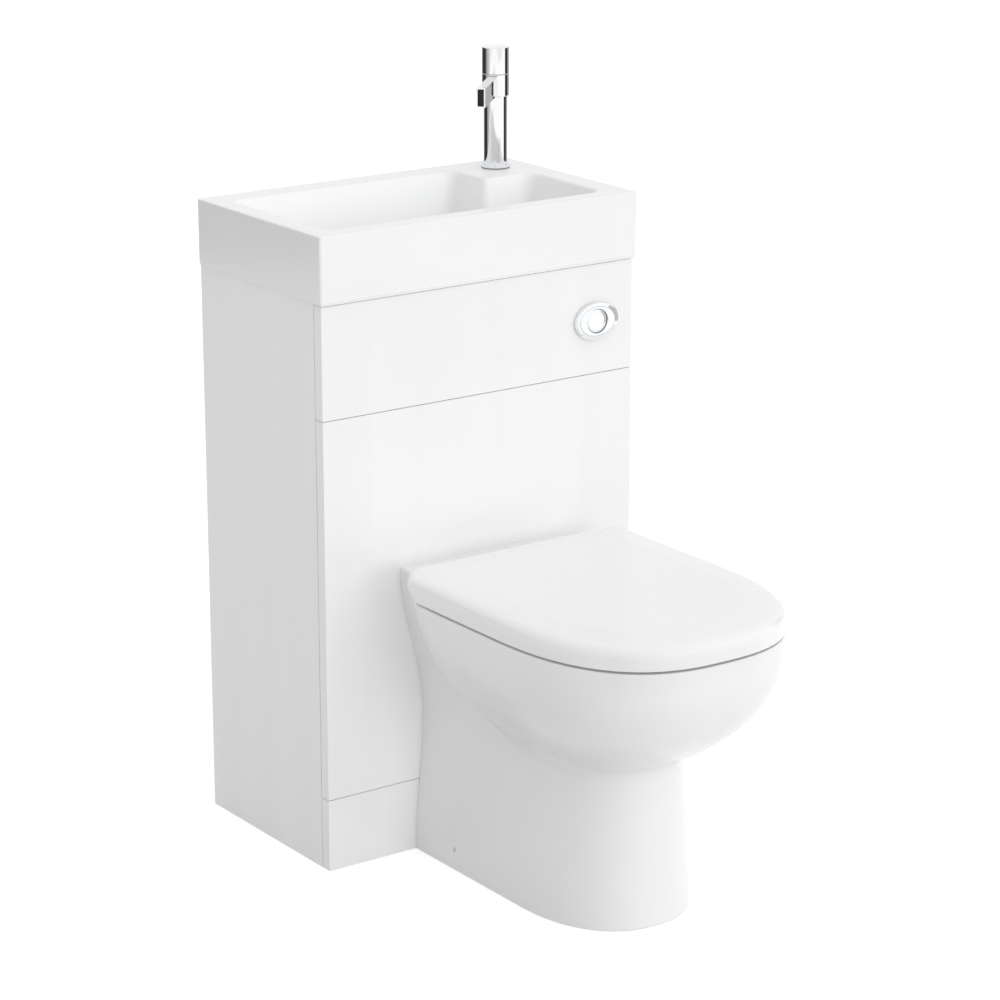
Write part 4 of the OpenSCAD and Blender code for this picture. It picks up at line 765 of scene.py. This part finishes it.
def floorRing(inset, t, z):
    waste = np.array(bs.waste)
    loop = basinLoop(inset)
    v = loop - waste
    onCircle = waste + bs.dish * v / np.linalg.norm(v, axis=1)[:, None]
    return raised(mix(loop, onCircle, t), z)


def basinBowl(grow, drop, above):
    # grow and drop thicken it for the hollow underneath; above is how far the cut rises over the rim
    wallsIn, low, fillet, lip = bs.draft - grow, bs.floor - drop, bs.fillet, bs.lip
    rings = [floorRing(wallsIn + fillet, t, low - bs.drop * t) for t in (1, 0.8, 0.6, 0.4, 0.2)]
    rings += [raised(basinLoop(wallsIn + fillet * (1 - sin(a))), low + fillet * (1 - cos(a)))
              for a in quarter(8)]
    upper = bs.top - lip - (0 if above > 0 else 6)
    rings.append(raised(basinLoop(wallsIn - bs.draft * 0.9), upper))
    if above > 0:
        rings += [raised(basinLoop(-grow - lip * (1 - cos(a))), bs.top - lip * (1 - sin(a)))
                  for a in np.linspace(0, 1.45, 8)]
        rings.append(raised(basinLoop(-grow - lip), bs.top + above))
    return loft(rings, (*bs.waste, low - bs.drop))


def skirtRing(inset, r, z):
    # a ring of the basin's outer skirt
    return raised(boxLoop(bs.wide - 2 * inset, bs.deep - 2 * inset, r, 8, 4, -bs.deep / 2), z)


def basinForm():
    edges = [(2.0, 0.0), (1.4, 0.25), (1.0, 0.9), (1.0, 2.6), (0.6, 3.0), (0.15, 3.6), (0.0, 4.4)]
    edges = [(i, bs.low + h) for i, h in edges]
    edge = bs.rimRound
    edges += [(edge * (1 - cos(a)), bs.top - edge + edge * sin(a)) for a in quarter(7)]
    under = [skirtRing(i, 8, z) for i, z in ((bs.skirt - 2, bs.low - 1), (bs.skirt, bs.low + 2),
                                             (bs.skirt, bs.top - bs.deckThick))]
    hollow = combined(loft(under), [less(basinBowl(bs.wall, bs.wall, 0))])
    low, deck = bs.floor - bs.drop, bs.top - bs.deckThick
    return shifted(combined(loft([skirtRing(i, bs.skirtCorner - i, z) for i, z in edges]), [
        less(hollow),
        less(basinBowl(0, 0, 1)),
        less(rod(bs.dish + 0.4, bs.drop + 5, (*bs.waste, low), "z", 96)),
        less(rod(bs.wasteHole, bs.wall + 2, (*bs.waste, low - bs.wall - 1), "z", 72)),
        less(rod(bs.tapHole, bs.deckThick + 2, (*bs.tap, deck - 1), "z", 72)),
    ]), y=wallY)


makePiece("basinCasting", basinForm(), "white_china", "fixed", ["basin"], 34)
print("basin done")


# Tap

tapSizes = {
    "x": 196.0, "y": 354.0, "z": 855.0, "column": 16.25, "sleeve": 18.7, "sleeveLow": 100.0, "cap": 130.0,
    "high": 167.0, "core": 13.0, "collar": 20.0, "shank": 14.0, "shankLong": 48.0, "reach": 118.0,
    "wide": 12.5, "tall": 27.0, "wall": 2.2, "turn": -135.0, "capWall": 2.4, "tails": 6.5, "tailR": 5.0,
    "seatR": 9.5, "stemR": 3.0,
}
ts = SimpleNamespace(**tapSizes)


def atTap(form):
    return shifted(form, ts.x, ts.y, ts.z)


def tapBodyForm():
    c, r, shank, low, sleeve, core, cap = (
        tapSizes[key] for key in ("collar", "column", "shank", "shankLong", "sleeveLow", "core", "cap"))
    profile = [
        (0, -low), (shank - 0.8, -low), (shank, -low + 0.8), (shank, 1.0), (c - 0.6, 1.0), (c - 0.15, 1.15),
        (c, 1.5), (c, 2.9), (c - 0.2, 3.3), (c - 0.7, 3.6), (r + 1.9, 3.9), (r + 1.6, 4.2), (r + 1.6, 5.2),
        (r + 1.4, 5.6), (r + 0.9, 5.9), (r + 0.35, 6.1), (r, 6.6), (r, sleeve - 0.8), (r - 0.3, sleeve - 0.3),
        (core, sleeve - 0.3), (core, cap - 0.6), (core - 0.6, cap), (0, cap)]
    steps = [less(rod(ts.tailR, 15, (x, 0, -low - 1), "z")) for x in (ts.tails, -ts.tails)]
    steps.append(less(rod(ts.seatR, 23, (0, 0, cap - 22), "z")))
    return atTap(combined(lathe(profile), steps))


def spoutForm():
    low, high, r, core, reach = ts.sleeveLow, ts.cap, ts.sleeve, ts.core, ts.reach
    sleeve = lathe([
        (core + 0.05, low + 0.3), (core + 0.35, low), (r - 0.5, low), (r - 0.15, low + 0.15), (r, low + 0.5),
        (r, high - 0.5), (r - 0.15, high - 0.15), (r - 0.5, high), (core + 0.35, high),
        (core + 0.05, high - 0.3)])
    middle = (low + high + 1) / 2

    def section(grow, corner, s):
        # an upright ring across the spout; grow is how much wider it is than the spout on each side
        loop = boxLoop(ts.wide + 2 * grow, ts.tall + 2 * grow, corner, 6)
        return np.column_stack([np.full(len(loop), float(s)), loop[:, 0], loop[:, 1] + middle])

    arm = loft([section(-i, 1.1, s) for i, s in
                ((0, 14.5), (0, reach - 0.5), (0.15, reach - 0.15), (0.5, reach))])
    mouth = loft([section(i - ts.wall, 0.7, s) for i, s in
                  ((0, core + 1), (0, reach - 0.5), (0.35, reach + 0.05), (0.35, reach + 2))])
    a = radians(ts.turn)
    turning = np.array([[cos(a), sin(a), 0], [-sin(a), cos(a), 0], [0, 0, 1]])
    made = combined(sleeve, [plus(arm), less(mouth)])
    return atTap((made[0] @ turning, made[1]))


def capForm():
    r, low, high, inner = ts.sleeve, ts.cap + 0.35, ts.high, ts.sleeve - ts.capWall
    profile = [
        (0, high - 10.4), (inner - 0.6, high - 10.4), (inner, high - 11), (inner, low + 0.3),
        (inner + 0.3, low), (r - 0.5, low), (r - 0.15, low + 0.15), (r, low + 0.5), (r, high - 1.1),
        (r - 0.2, high - 0.5),
        (r - 0.6, high - 0.15), (r - 1.2, high - 0.02), (r - 2.5, high), (0, high)]
    return atTap(combined(lathe(profile), [plus(rod(ts.stemR, 46, (0, 0, ts.cap - 12), "z"))]))


makePiece("tapColumn", tapBodyForm(), "chrome", "fixed", ["tap_body"], 30)
makePiece("tapSpoutSleeve", spoutForm(), "chrome", "fixed", ["tap_spout"], 30)
makePiece("tapTurningCap", capForm(), "chrome", "tap_top", ["tap_cap"], 30)
print("tap done")


# Flush button

buttonSizes = {
    "x": 185.4, "z": 687.0, "wide": 71.0, "high": 53.0, "stand": 6.5, "slope": 13.0, "gap": 0.18,
    "small": 15.7, "hole": 16.5, "bore": 18.0, "stem": 5.0,
}
us = SimpleNamespace(**buttonSizes)


def atButton(form):
    points = form[0]
    return np.column_stack([us.x + points[:, 0], frontY - points[:, 2], us.z + points[:, 1]]), form[1]


def bezelForm():
    # a narrow foot leaves a shadow line round it; inside the rim the ring slopes down to the plate
    w, h, top, slope = us.wide, us.high, us.stand, us.slope
    outer = [(4.2, 0.0), (4.2, 1.5), (3.6, 1.9), (0.4, 2.1), (0.0, 2.5), (0.15, 3.6), (0.6, 4.6), (1.3, 5.5),
             (2.2, 6.15), (3.2, top)]
    inner = [(4.0, top - 0.08), (5.0, top - 0.25), (slope - 0.35, 5.8), (slope, 5.62), (slope, 0.7),
             (slope + 0.6, 0.4)]
    rings = [ellipseRing(w - i, h - i, z) for i, z in outer + inner]
    rings += [circle(us.bore, 0.4), circle(us.bore, 0.0)]
    return atButton(tyre(rings))


def plateForm():
    w, h = us.wide - us.slope - 2 * us.gap, us.high - us.slope - 2 * us.gap
    hole = us.hole
    rings = [ellipseRing(w - i, h - i, z) for i, z in
             ((1.0, 4.82), (0.2, 4.87), (0.0, 5.0), (0.0, 5.55), (0.15, 5.7), (0.5, 5.78), (1.2, 5.8))]
    rings += [circle(hole + out, z) for out, z in
              ((1.2, 5.78), (0.3, 5.66), (0, 5.4), (0, -12.0), (1.0, -12.0), (1.0, 4.82))]
    return atButton(tyre(rings))


def smallButtonForm():
    r, stem = us.small, us.stem
    return atButton(lathe([
        (0, -14.0), (stem - 0.4, -14.0), (stem, -13.6), (stem, 1.4), (r - 0.8, 1.6), (r - 0.2, 1.8), (r, 2.3),
        (r, 3.7), (r - 0.15, 4.05), (r - 0.6, 4.25), (r - 1.2, 4.2), (r - 2.6, 3.95), (r - 3.6, 3.88),
        (r - 12.0, 3.82), (0, 3.8)]))


makePiece("buttonBezel", bezelForm(), "chrome", "fixed", ["button_bezel"], 40)
makePiece("buttonPlate", plateForm(), "chrome", "full_button", ["full_flush_button"], 40)
makePiece("buttonSmall", smallButtonForm(), "chrome", "half_button", ["half_flush_button"], 40)
print("button done")


# Cam fittings: one form set at each rail end by a Geometry Nodes tree

camSizes = {
    "r": 7.5, "deep": 12.0, "inset": 24.0, "bolt": 3.5, "boltLong": 34.0, "slot": 1.6, "slotDeep": 2.2,
    "board": 15.0, "seed": 3, "smallest": 0.985,
}
cs = SimpleNamespace(**camSizes)


def camForm():
    # a disc with a cross slot in its face, and the bolt that it pulls on
    r, face, deep, long = cs.r, cs.board / 2, cs.deep, cs.boltLong
    disc = lathe([(0, 0), (r - 0.5, 0), (r, 0.5), (r, deep - 0.6), (r - 0.6, deep), (0, deep)], 32)
    disc = shifted((disc[0][:, [0, 2, 1]], disc[1]), y=face - deep)
    high, cut, half, arm = face + 1, cs.slotDeep + 1, cs.slot / 2, r * 0.6
    bolt = lathe([(0, 0), (cs.bolt - 0.4, 0), (cs.bolt, 0.4), (cs.bolt, long - 1.2),
                  (cs.bolt - 1.2, long), (0, long)], 24)
    return combined(disc, [
        less(block((-arm, high - cut, -half), (arm, high, half))),
        less(block((-half, high - cut, -arm), (half, high, arm))),
        plus((bolt[0][:, [2, 0, 1]], bolt[1])),
    ])


def repeatTree():
    # the points carry the turn of each copy; the seed makes each cam a hair smaller or larger
    tree, entry, leave = formTree("repeatForm", (
        ("places", "Geometry"), ("copiedForm", "Object"), ("copySize", "Float"), ("seed", "Int"),
        ("finish", "Material")))
    shape = addNode(tree, "GeometryNodeObjectInfo")
    turn = addNode(tree, "GeometryNodeInputNamedAttribute", {"Name": "turn"}, data_type="FLOAT_VECTOR")
    spread = addNode(tree, "FunctionNodeRandomValue", {2: cs.smallest, 3: 1.0}, data_type="FLOAT")
    size = maths(tree, "MULTIPLY")
    copies = addNode(tree, "GeometryNodeInstanceOnPoints")
    real = addNode(tree, "GeometryNodeRealizeInstances")
    coat = addNode(tree, "GeometryNodeSetMaterial")
    join(tree, (entry, "places", copies, "Points"), (entry, "copiedForm", shape, "Object"),
         (shape, "Geometry", copies, "Instance"), (turn, "Attribute", copies, "Rotation"),
         (entry, "seed", spread, "Seed"), (entry, "copySize", size, 0), (spread, 1, size, 1),
         (size, 0, copies, "Scale"), (entry, "finish", coat, "Material"))
    passOn(tree, copies, "Instances", real, coat, leave)
    return tree


def repeated(form, places, turns, slotName):
    shape = putIn("copied", toMesh("copied", form))
    cloud = bpy.data.meshes.new("places")
    cloud.from_pydata([tuple(p * milli for p in place) for place in places], [], [])
    facing = cloud.attributes.new("turn", "FLOAT_VECTOR", "POINT")
    facing.data.foreach_set("vector", [value for turn in turns for value in turn])
    holder = putIn("places", cloud)
    addTree(holder, "repeat", repeatTree(), {
        "copiedForm": shape, "copySize": 1.0, "seed": cs.seed, "finish": surfaces[slotName]})
    made = formOf(holder)
    for old in (holder, shape):
        bpy.data.objects.remove(old)
    return made


def camPlaces():
    # front rails are seen from behind and back rails from the front, so their cams face opposite ways
    places, turns = [], []
    for rail, facing in (("top_front_rail", 1), ("middle_front_rail", 1), ("lower_front_rail", 1),
                         ("upper_back_rail", -1), ("lower_back_rail", -1)):
        low, high = (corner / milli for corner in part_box(rail))
        for side in (1, -1):
            x = high.x - cs.inset if side > 0 else low.x + cs.inset
            places.append((x, (low.y + high.y) / 2, (low.z + high.z) / 2))
            turns.append((pi if side > 0 > facing else 0, pi if facing > 0 > side else 0,
                          pi if side < 0 and facing < 0 else 0))
    return places, turns


camCopies = repeated(camForm(), *camPlaces(), "zinc_steel")
makePiece("camFittings", camCopies, "zinc_steel", "fixed", ["cam_fittings"], 30)


# The rest of the frame: its own shapes, new surfaces

def compare(tree, operation, values=None):
    return addNode(tree, "FunctionNodeCompare", values, data_type="FLOAT", operation=operation)


def smoothTree():
    # merges doubled points and keeps only true edges sharp
    tree, entry, leave = formTree("cleanShade", (("given", "Geometry"),))
    drop = addNode(tree, "GeometryNodeRemoveAttribute", {"Name": "custom_normal"})
    weld = addNode(tree, "GeometryNodeMergeByDistance", {"Distance": weldReach})
    faces = addNode(tree, "GeometryNodeSetShadeSmooth")
    edges = addNode(tree, "GeometryNodeSetShadeSmooth", domain="EDGE")
    bend = addNode(tree, "GeometryNodeInputMeshEdgeAngle")
    flat = compare(tree, "LESS_THAN", {1: radians(31)})
    passOn(tree, entry, "given", drop, weld, faces, edges, leave)
    join(tree, (bend, "Unsigned Angle", flat, 0), (flat, "Result", edges, "Shade Smooth"))
    return tree


def trimTree():
    # moves the outer edges of a board a little: its lower and upper ends, and its front edge
    shifts = ("lowEnd", "lowShift", "highEnd", "highShift", "frontEnd", "frontShift")
    tree, entry, leave = formTree("boardTrim", (("given", "Geometry"), *((name, "Float") for name in shifts)))
    place, split = addNode(tree, "GeometryNodeInputPosition"), addNode(tree, "ShaderNodeSeparateXYZ")
    join(tree, (place, "Position", split, "Vector"))
    row = []
    ends = (("low", "LESS_THAN", "Z"), ("high", "GREATER_THAN", "Z"), ("front", "LESS_THAN", "Y"))
    for end, side, axis in ends:
        at = compare(tree, side)
        step, shift = addNode(tree, "ShaderNodeCombineXYZ"), addNode(tree, "GeometryNodeSetPosition")
        join(tree, (split, axis, at, 0), (entry, end + "End", at, 1), (entry, end + "Shift", step, axis),
             (at, "Result", shift, "Selection"), (step, "Vector", shift, "Offset"))
        row.append(shift)
    passOn(tree, entry, "given", *row, leave)
    return tree


# how far a board's lower end, upper end and front edge move, in millimetres
boardShifts = {"flush_panel": (-0.5, 0, 0), "lower_front_panel": (-0.5, 0.5, 0), "plinth_panel": (0, 0.5, 0),
               "left_side_panel": (0, 0, 1.0), "right_side_panel": (0, 0, 1.0)}
boardTrim = trimTree()


def trimBoard(obj, nodeName):
    low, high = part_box(nodeName)
    near = 0.0001
    given = {"lowEnd": low.z + near, "highEnd": high.z - near, "frontEnd": low.y + near}
    moves = [value * milli for value in boardShifts[nodeName]]
    given.update(zip(("lowShift", "highShift", "frontShift"), moves))
    addTree(obj, "boardTrim", boardTrim, given)


nodeSlots = {part.get("node", part.get("name")): part["material_slot"]
             for part in frame["record"]["subparts"]}
# pieces with rounded edges, by the width of the rounding in millimetres
panelEdges = {
    0.3: ("panel_clips", "wall_brackets"),
    0.35: ("flush_panel", "lower_front_panel", "plinth_panel"),
    0.4: ("top_front_rail", "middle_front_rail", "lower_front_rail", "upper_back_rail", "lower_back_rail"),
    0.5: ("hinge_posts", "seat_buffers", "lid_buffers"),
    0.6: ("left_side_panel", "right_side_panel", "floor_brackets"),
    0.8: ("cistern_tank", "cistern_lid"),
}
edgeOf = {nodeName: width for width, names in panelEdges.items() for nodeName in names}
cleanShade = smoothTree()
for nodeName, obj in frame["nodes"].items():
    obj.data.materials.clear()
    obj.data.materials.append(surfaces[nodeSlots[nodeName]])
    obj.data.polygons.foreach_set("material_index", [0] * len(obj.data.polygons))
    if obj.hide_render:
        continue
    shade = obj.modifiers.new("cleanShade", "NODES")
    shade.node_group = cleanShade
    if nodeName in boardShifts:
        trimBoard(obj, nodeName)
    if nodeName in edgeOf:
        rounding = obj.modifiers.new("softEdges", "BEVEL")
        rounding.width = edgeOf[nodeName] * milli
        rounding.segments = 3
        rounding.limit_method = "ANGLE"
        rounding.angle_limit = radians(50)
        rounding.harden_normals = True
    evenNormals(obj)
print("frame surfaces done")


# Light and floor

lightSizes = {
    "ambient": 0.77, "floor": 6.0, "floorDrop": 0.0006, "floorGlow": 0.62, "floorTone": 0.6,
    "cardNear": 1.3, "cardReach": 1.12,
    # strength, width of the source in degrees, where it comes from, and whether it casts shadows
    "key": (0.55, 100.0, (0.50, -0.50, 0.75), True), "front": (0.40, 20.0, (0.02, -0.98, 0.18), True),
    "lift": (0.50, 20.0, (0.35, -0.70, -0.60), False),
    # glowing cards that paint reflected bands on the chrome: from and to in degrees round the tap, lower and
    # upper end in metres, grey at both ends
    "cards": {"rightCard": (92, 128, 0.56, 0.93, 0.04, 0.03), "backCard": (-8, 92, 0.56, 0.93, 0.42, 0.5),
              "leftCard": (-56, -8, 0.56, 0.93, 0.03, 0.05), "greyCard": (-98, -56, 0.56, 0.93, 0.85, 0.25),
              "frontCard": (153, 225, 0.08, 0.50, 0.6, 0.45)},
}
ls = SimpleNamespace(**lightSizes)


def makeWorld():
    # the camera, mirrors and clear parts see plain white; what is lit gets the ambient strength
    world = bpy.data.worlds.new("paleRoom")
    world.use_nodes = True
    tree = world.node_tree
    tree.nodes.clear()
    white = (1, 1, 1, 1)
    seen = addNode(tree, "ShaderNodeBackground", {"Color": white, "Strength": 1.0})
    lit = addNode(tree, "ShaderNodeBackground", {"Color": white, "Strength": ls.ambient})
    path = addNode(tree, "ShaderNodeLightPath")
    two, three = (maths(tree, "MAXIMUM") for _ in range(2))
    blend, out = addNode(tree, "ShaderNodeMixShader"), addNode(tree, "ShaderNodeOutputWorld")
    join(tree, (path, "Is Camera Ray", two, 0), (path, "Is Glossy Ray", two, 1), (two, 0, three, 0),
         (path, "Is Transmission Ray", three, 1), (three, 0, blend, "Fac"), (lit, 0, blend, 1),
         (seen, 0, blend, 2), (blend, 0, out, "Surface"))
    scene.world = world


def makeSun(name):
    strength, spread, source, shadow = lightSizes[name]
    lamp = bpy.data.lights.new(name, "SUN")
    lamp.energy = strength
    lamp.angle = radians(spread)
    lamp.use_shadow = shadow
    obj = putIn(name, lamp)
    obj.rotation_euler = Vector(source).to_track_quat("Z", "Y").to_euler()
    obj.visible_glossy = False


def studioPiece(name, points, faces, material):
    # something round the object that is no piece of it
    mesh = bpy.data.meshes.new(name)
    mesh.from_pydata(points, [], faces)
    mesh.materials.append(material)
    return putIn(name, mesh)


def makeFloor():
    # a wide matt floor, which glows for the camera and for mirrors
    many, half = 8, ls.floor
    steps = np.linspace(-half, half, many + 1)
    points = [(x, y, -ls.floorDrop) for y in steps for x in steps]
    corners = [j * (many + 1) + i for j in range(many) for i in range(many)]
    faces = [(c, c + 1, c + many + 2, c + many + 1) for c in corners]
    material, tree = paint("paleFloor")
    shader = tree.nodes["Principled BSDF"]
    fill(shader, {"Base Color": (*[ls.floorTone] * 3, 1), "Specular IOR Level": 0.0})
    place = addNode(tree, "ShaderNodeTexCoord")
    noise = addNode(tree, "ShaderNodeTexNoise", {"Scale": 8.0})
    polish = addNode(tree, "ShaderNodeMapRange", {"To Min": 0.7, "To Max": 0.9})
    glow, path = addNode(tree, "ShaderNodeEmission"), addNode(tree, "ShaderNodeLightPath")
    both = addNode(tree, "ShaderNodeAddShader")
    level = maths(tree, "MULTIPLY", {1: ls.floorGlow})
    seen = maths(tree, "MAXIMUM")
    join(tree, (place, "Object", noise, "Vector"), (noise, "Fac", polish, "Value"),
         (polish, "Result", shader, "Roughness"), (path, "Is Camera Ray", seen, 0),
         (path, "Is Glossy Ray", seen, 1), (seen, 0, level, 0), (level, 0, glow, "Strength"),
         (shader, 0, both, 0), (glow, 0, both, 1),
         (both, 0, tree.nodes["Material Output"], "Surface"))
    floor = studioPiece("floor", points, faces, material)


def makeReflectionCard(name):
    # a curved glowing card round the tap, which paints dark and grey reflected bands on the chrome; only
    # mirrors about as near as the tap see it
    start, end, low, high, startGrey, endGrey = ls.cards[name]
    many, near = 24, ls.cardNear
    points, greys = [], []
    for i in range(many + 1):
        a = radians(mix(start, end, i / many))
        x, y = ts.x * milli + near * sin(a), ts.y * milli + near * cos(a)
        points += [(x, y, low), (x, y, high)]
        greys += [mix(startGrey, endGrey, i / many)] * 2
    material, tree = paint(name)
    glow = addNode(tree, "ShaderNodeEmission")
    shade = addNode(tree, "ShaderNodeAttribute", attribute_name="grey")
    path = addNode(tree, "ShaderNodeLightPath")
    within = maths(tree, "LESS_THAN", {1: near * ls.cardReach})
    blend, clear = addNode(tree, "ShaderNodeMixShader"), addNode(tree, "ShaderNodeBsdfTransparent")
    join(tree, (shade, "Fac", glow, "Strength"), (path, "Ray Length", within, 0), (within, 0, blend, "Fac"),
         (clear, 0, blend, 1), (glow, 0, blend, 2), (blend, 0, tree.nodes["Material Output"], "Surface"))
    faces = [(2 * i, 2 * i + 2, 2 * i + 3, 2 * i + 1) for i in range(many)]
    card = studioPiece(name, points, faces, material)
    card.data.attributes.new("grey", "FLOAT", "POINT").data.foreach_set("value", greys)
    card.visible_camera = card.visible_diffuse = card.visible_shadow = card.visible_transmission = False


makeWorld()
for lampName in ("key", "front", "lift"):
    makeSun(lampName)
makeFloor()
# glowing cards, seen only in mirrors, paint reflected bands on the chrome
for cardName in ls.cards:
    makeReflectionCard(cardName)
print("light done")
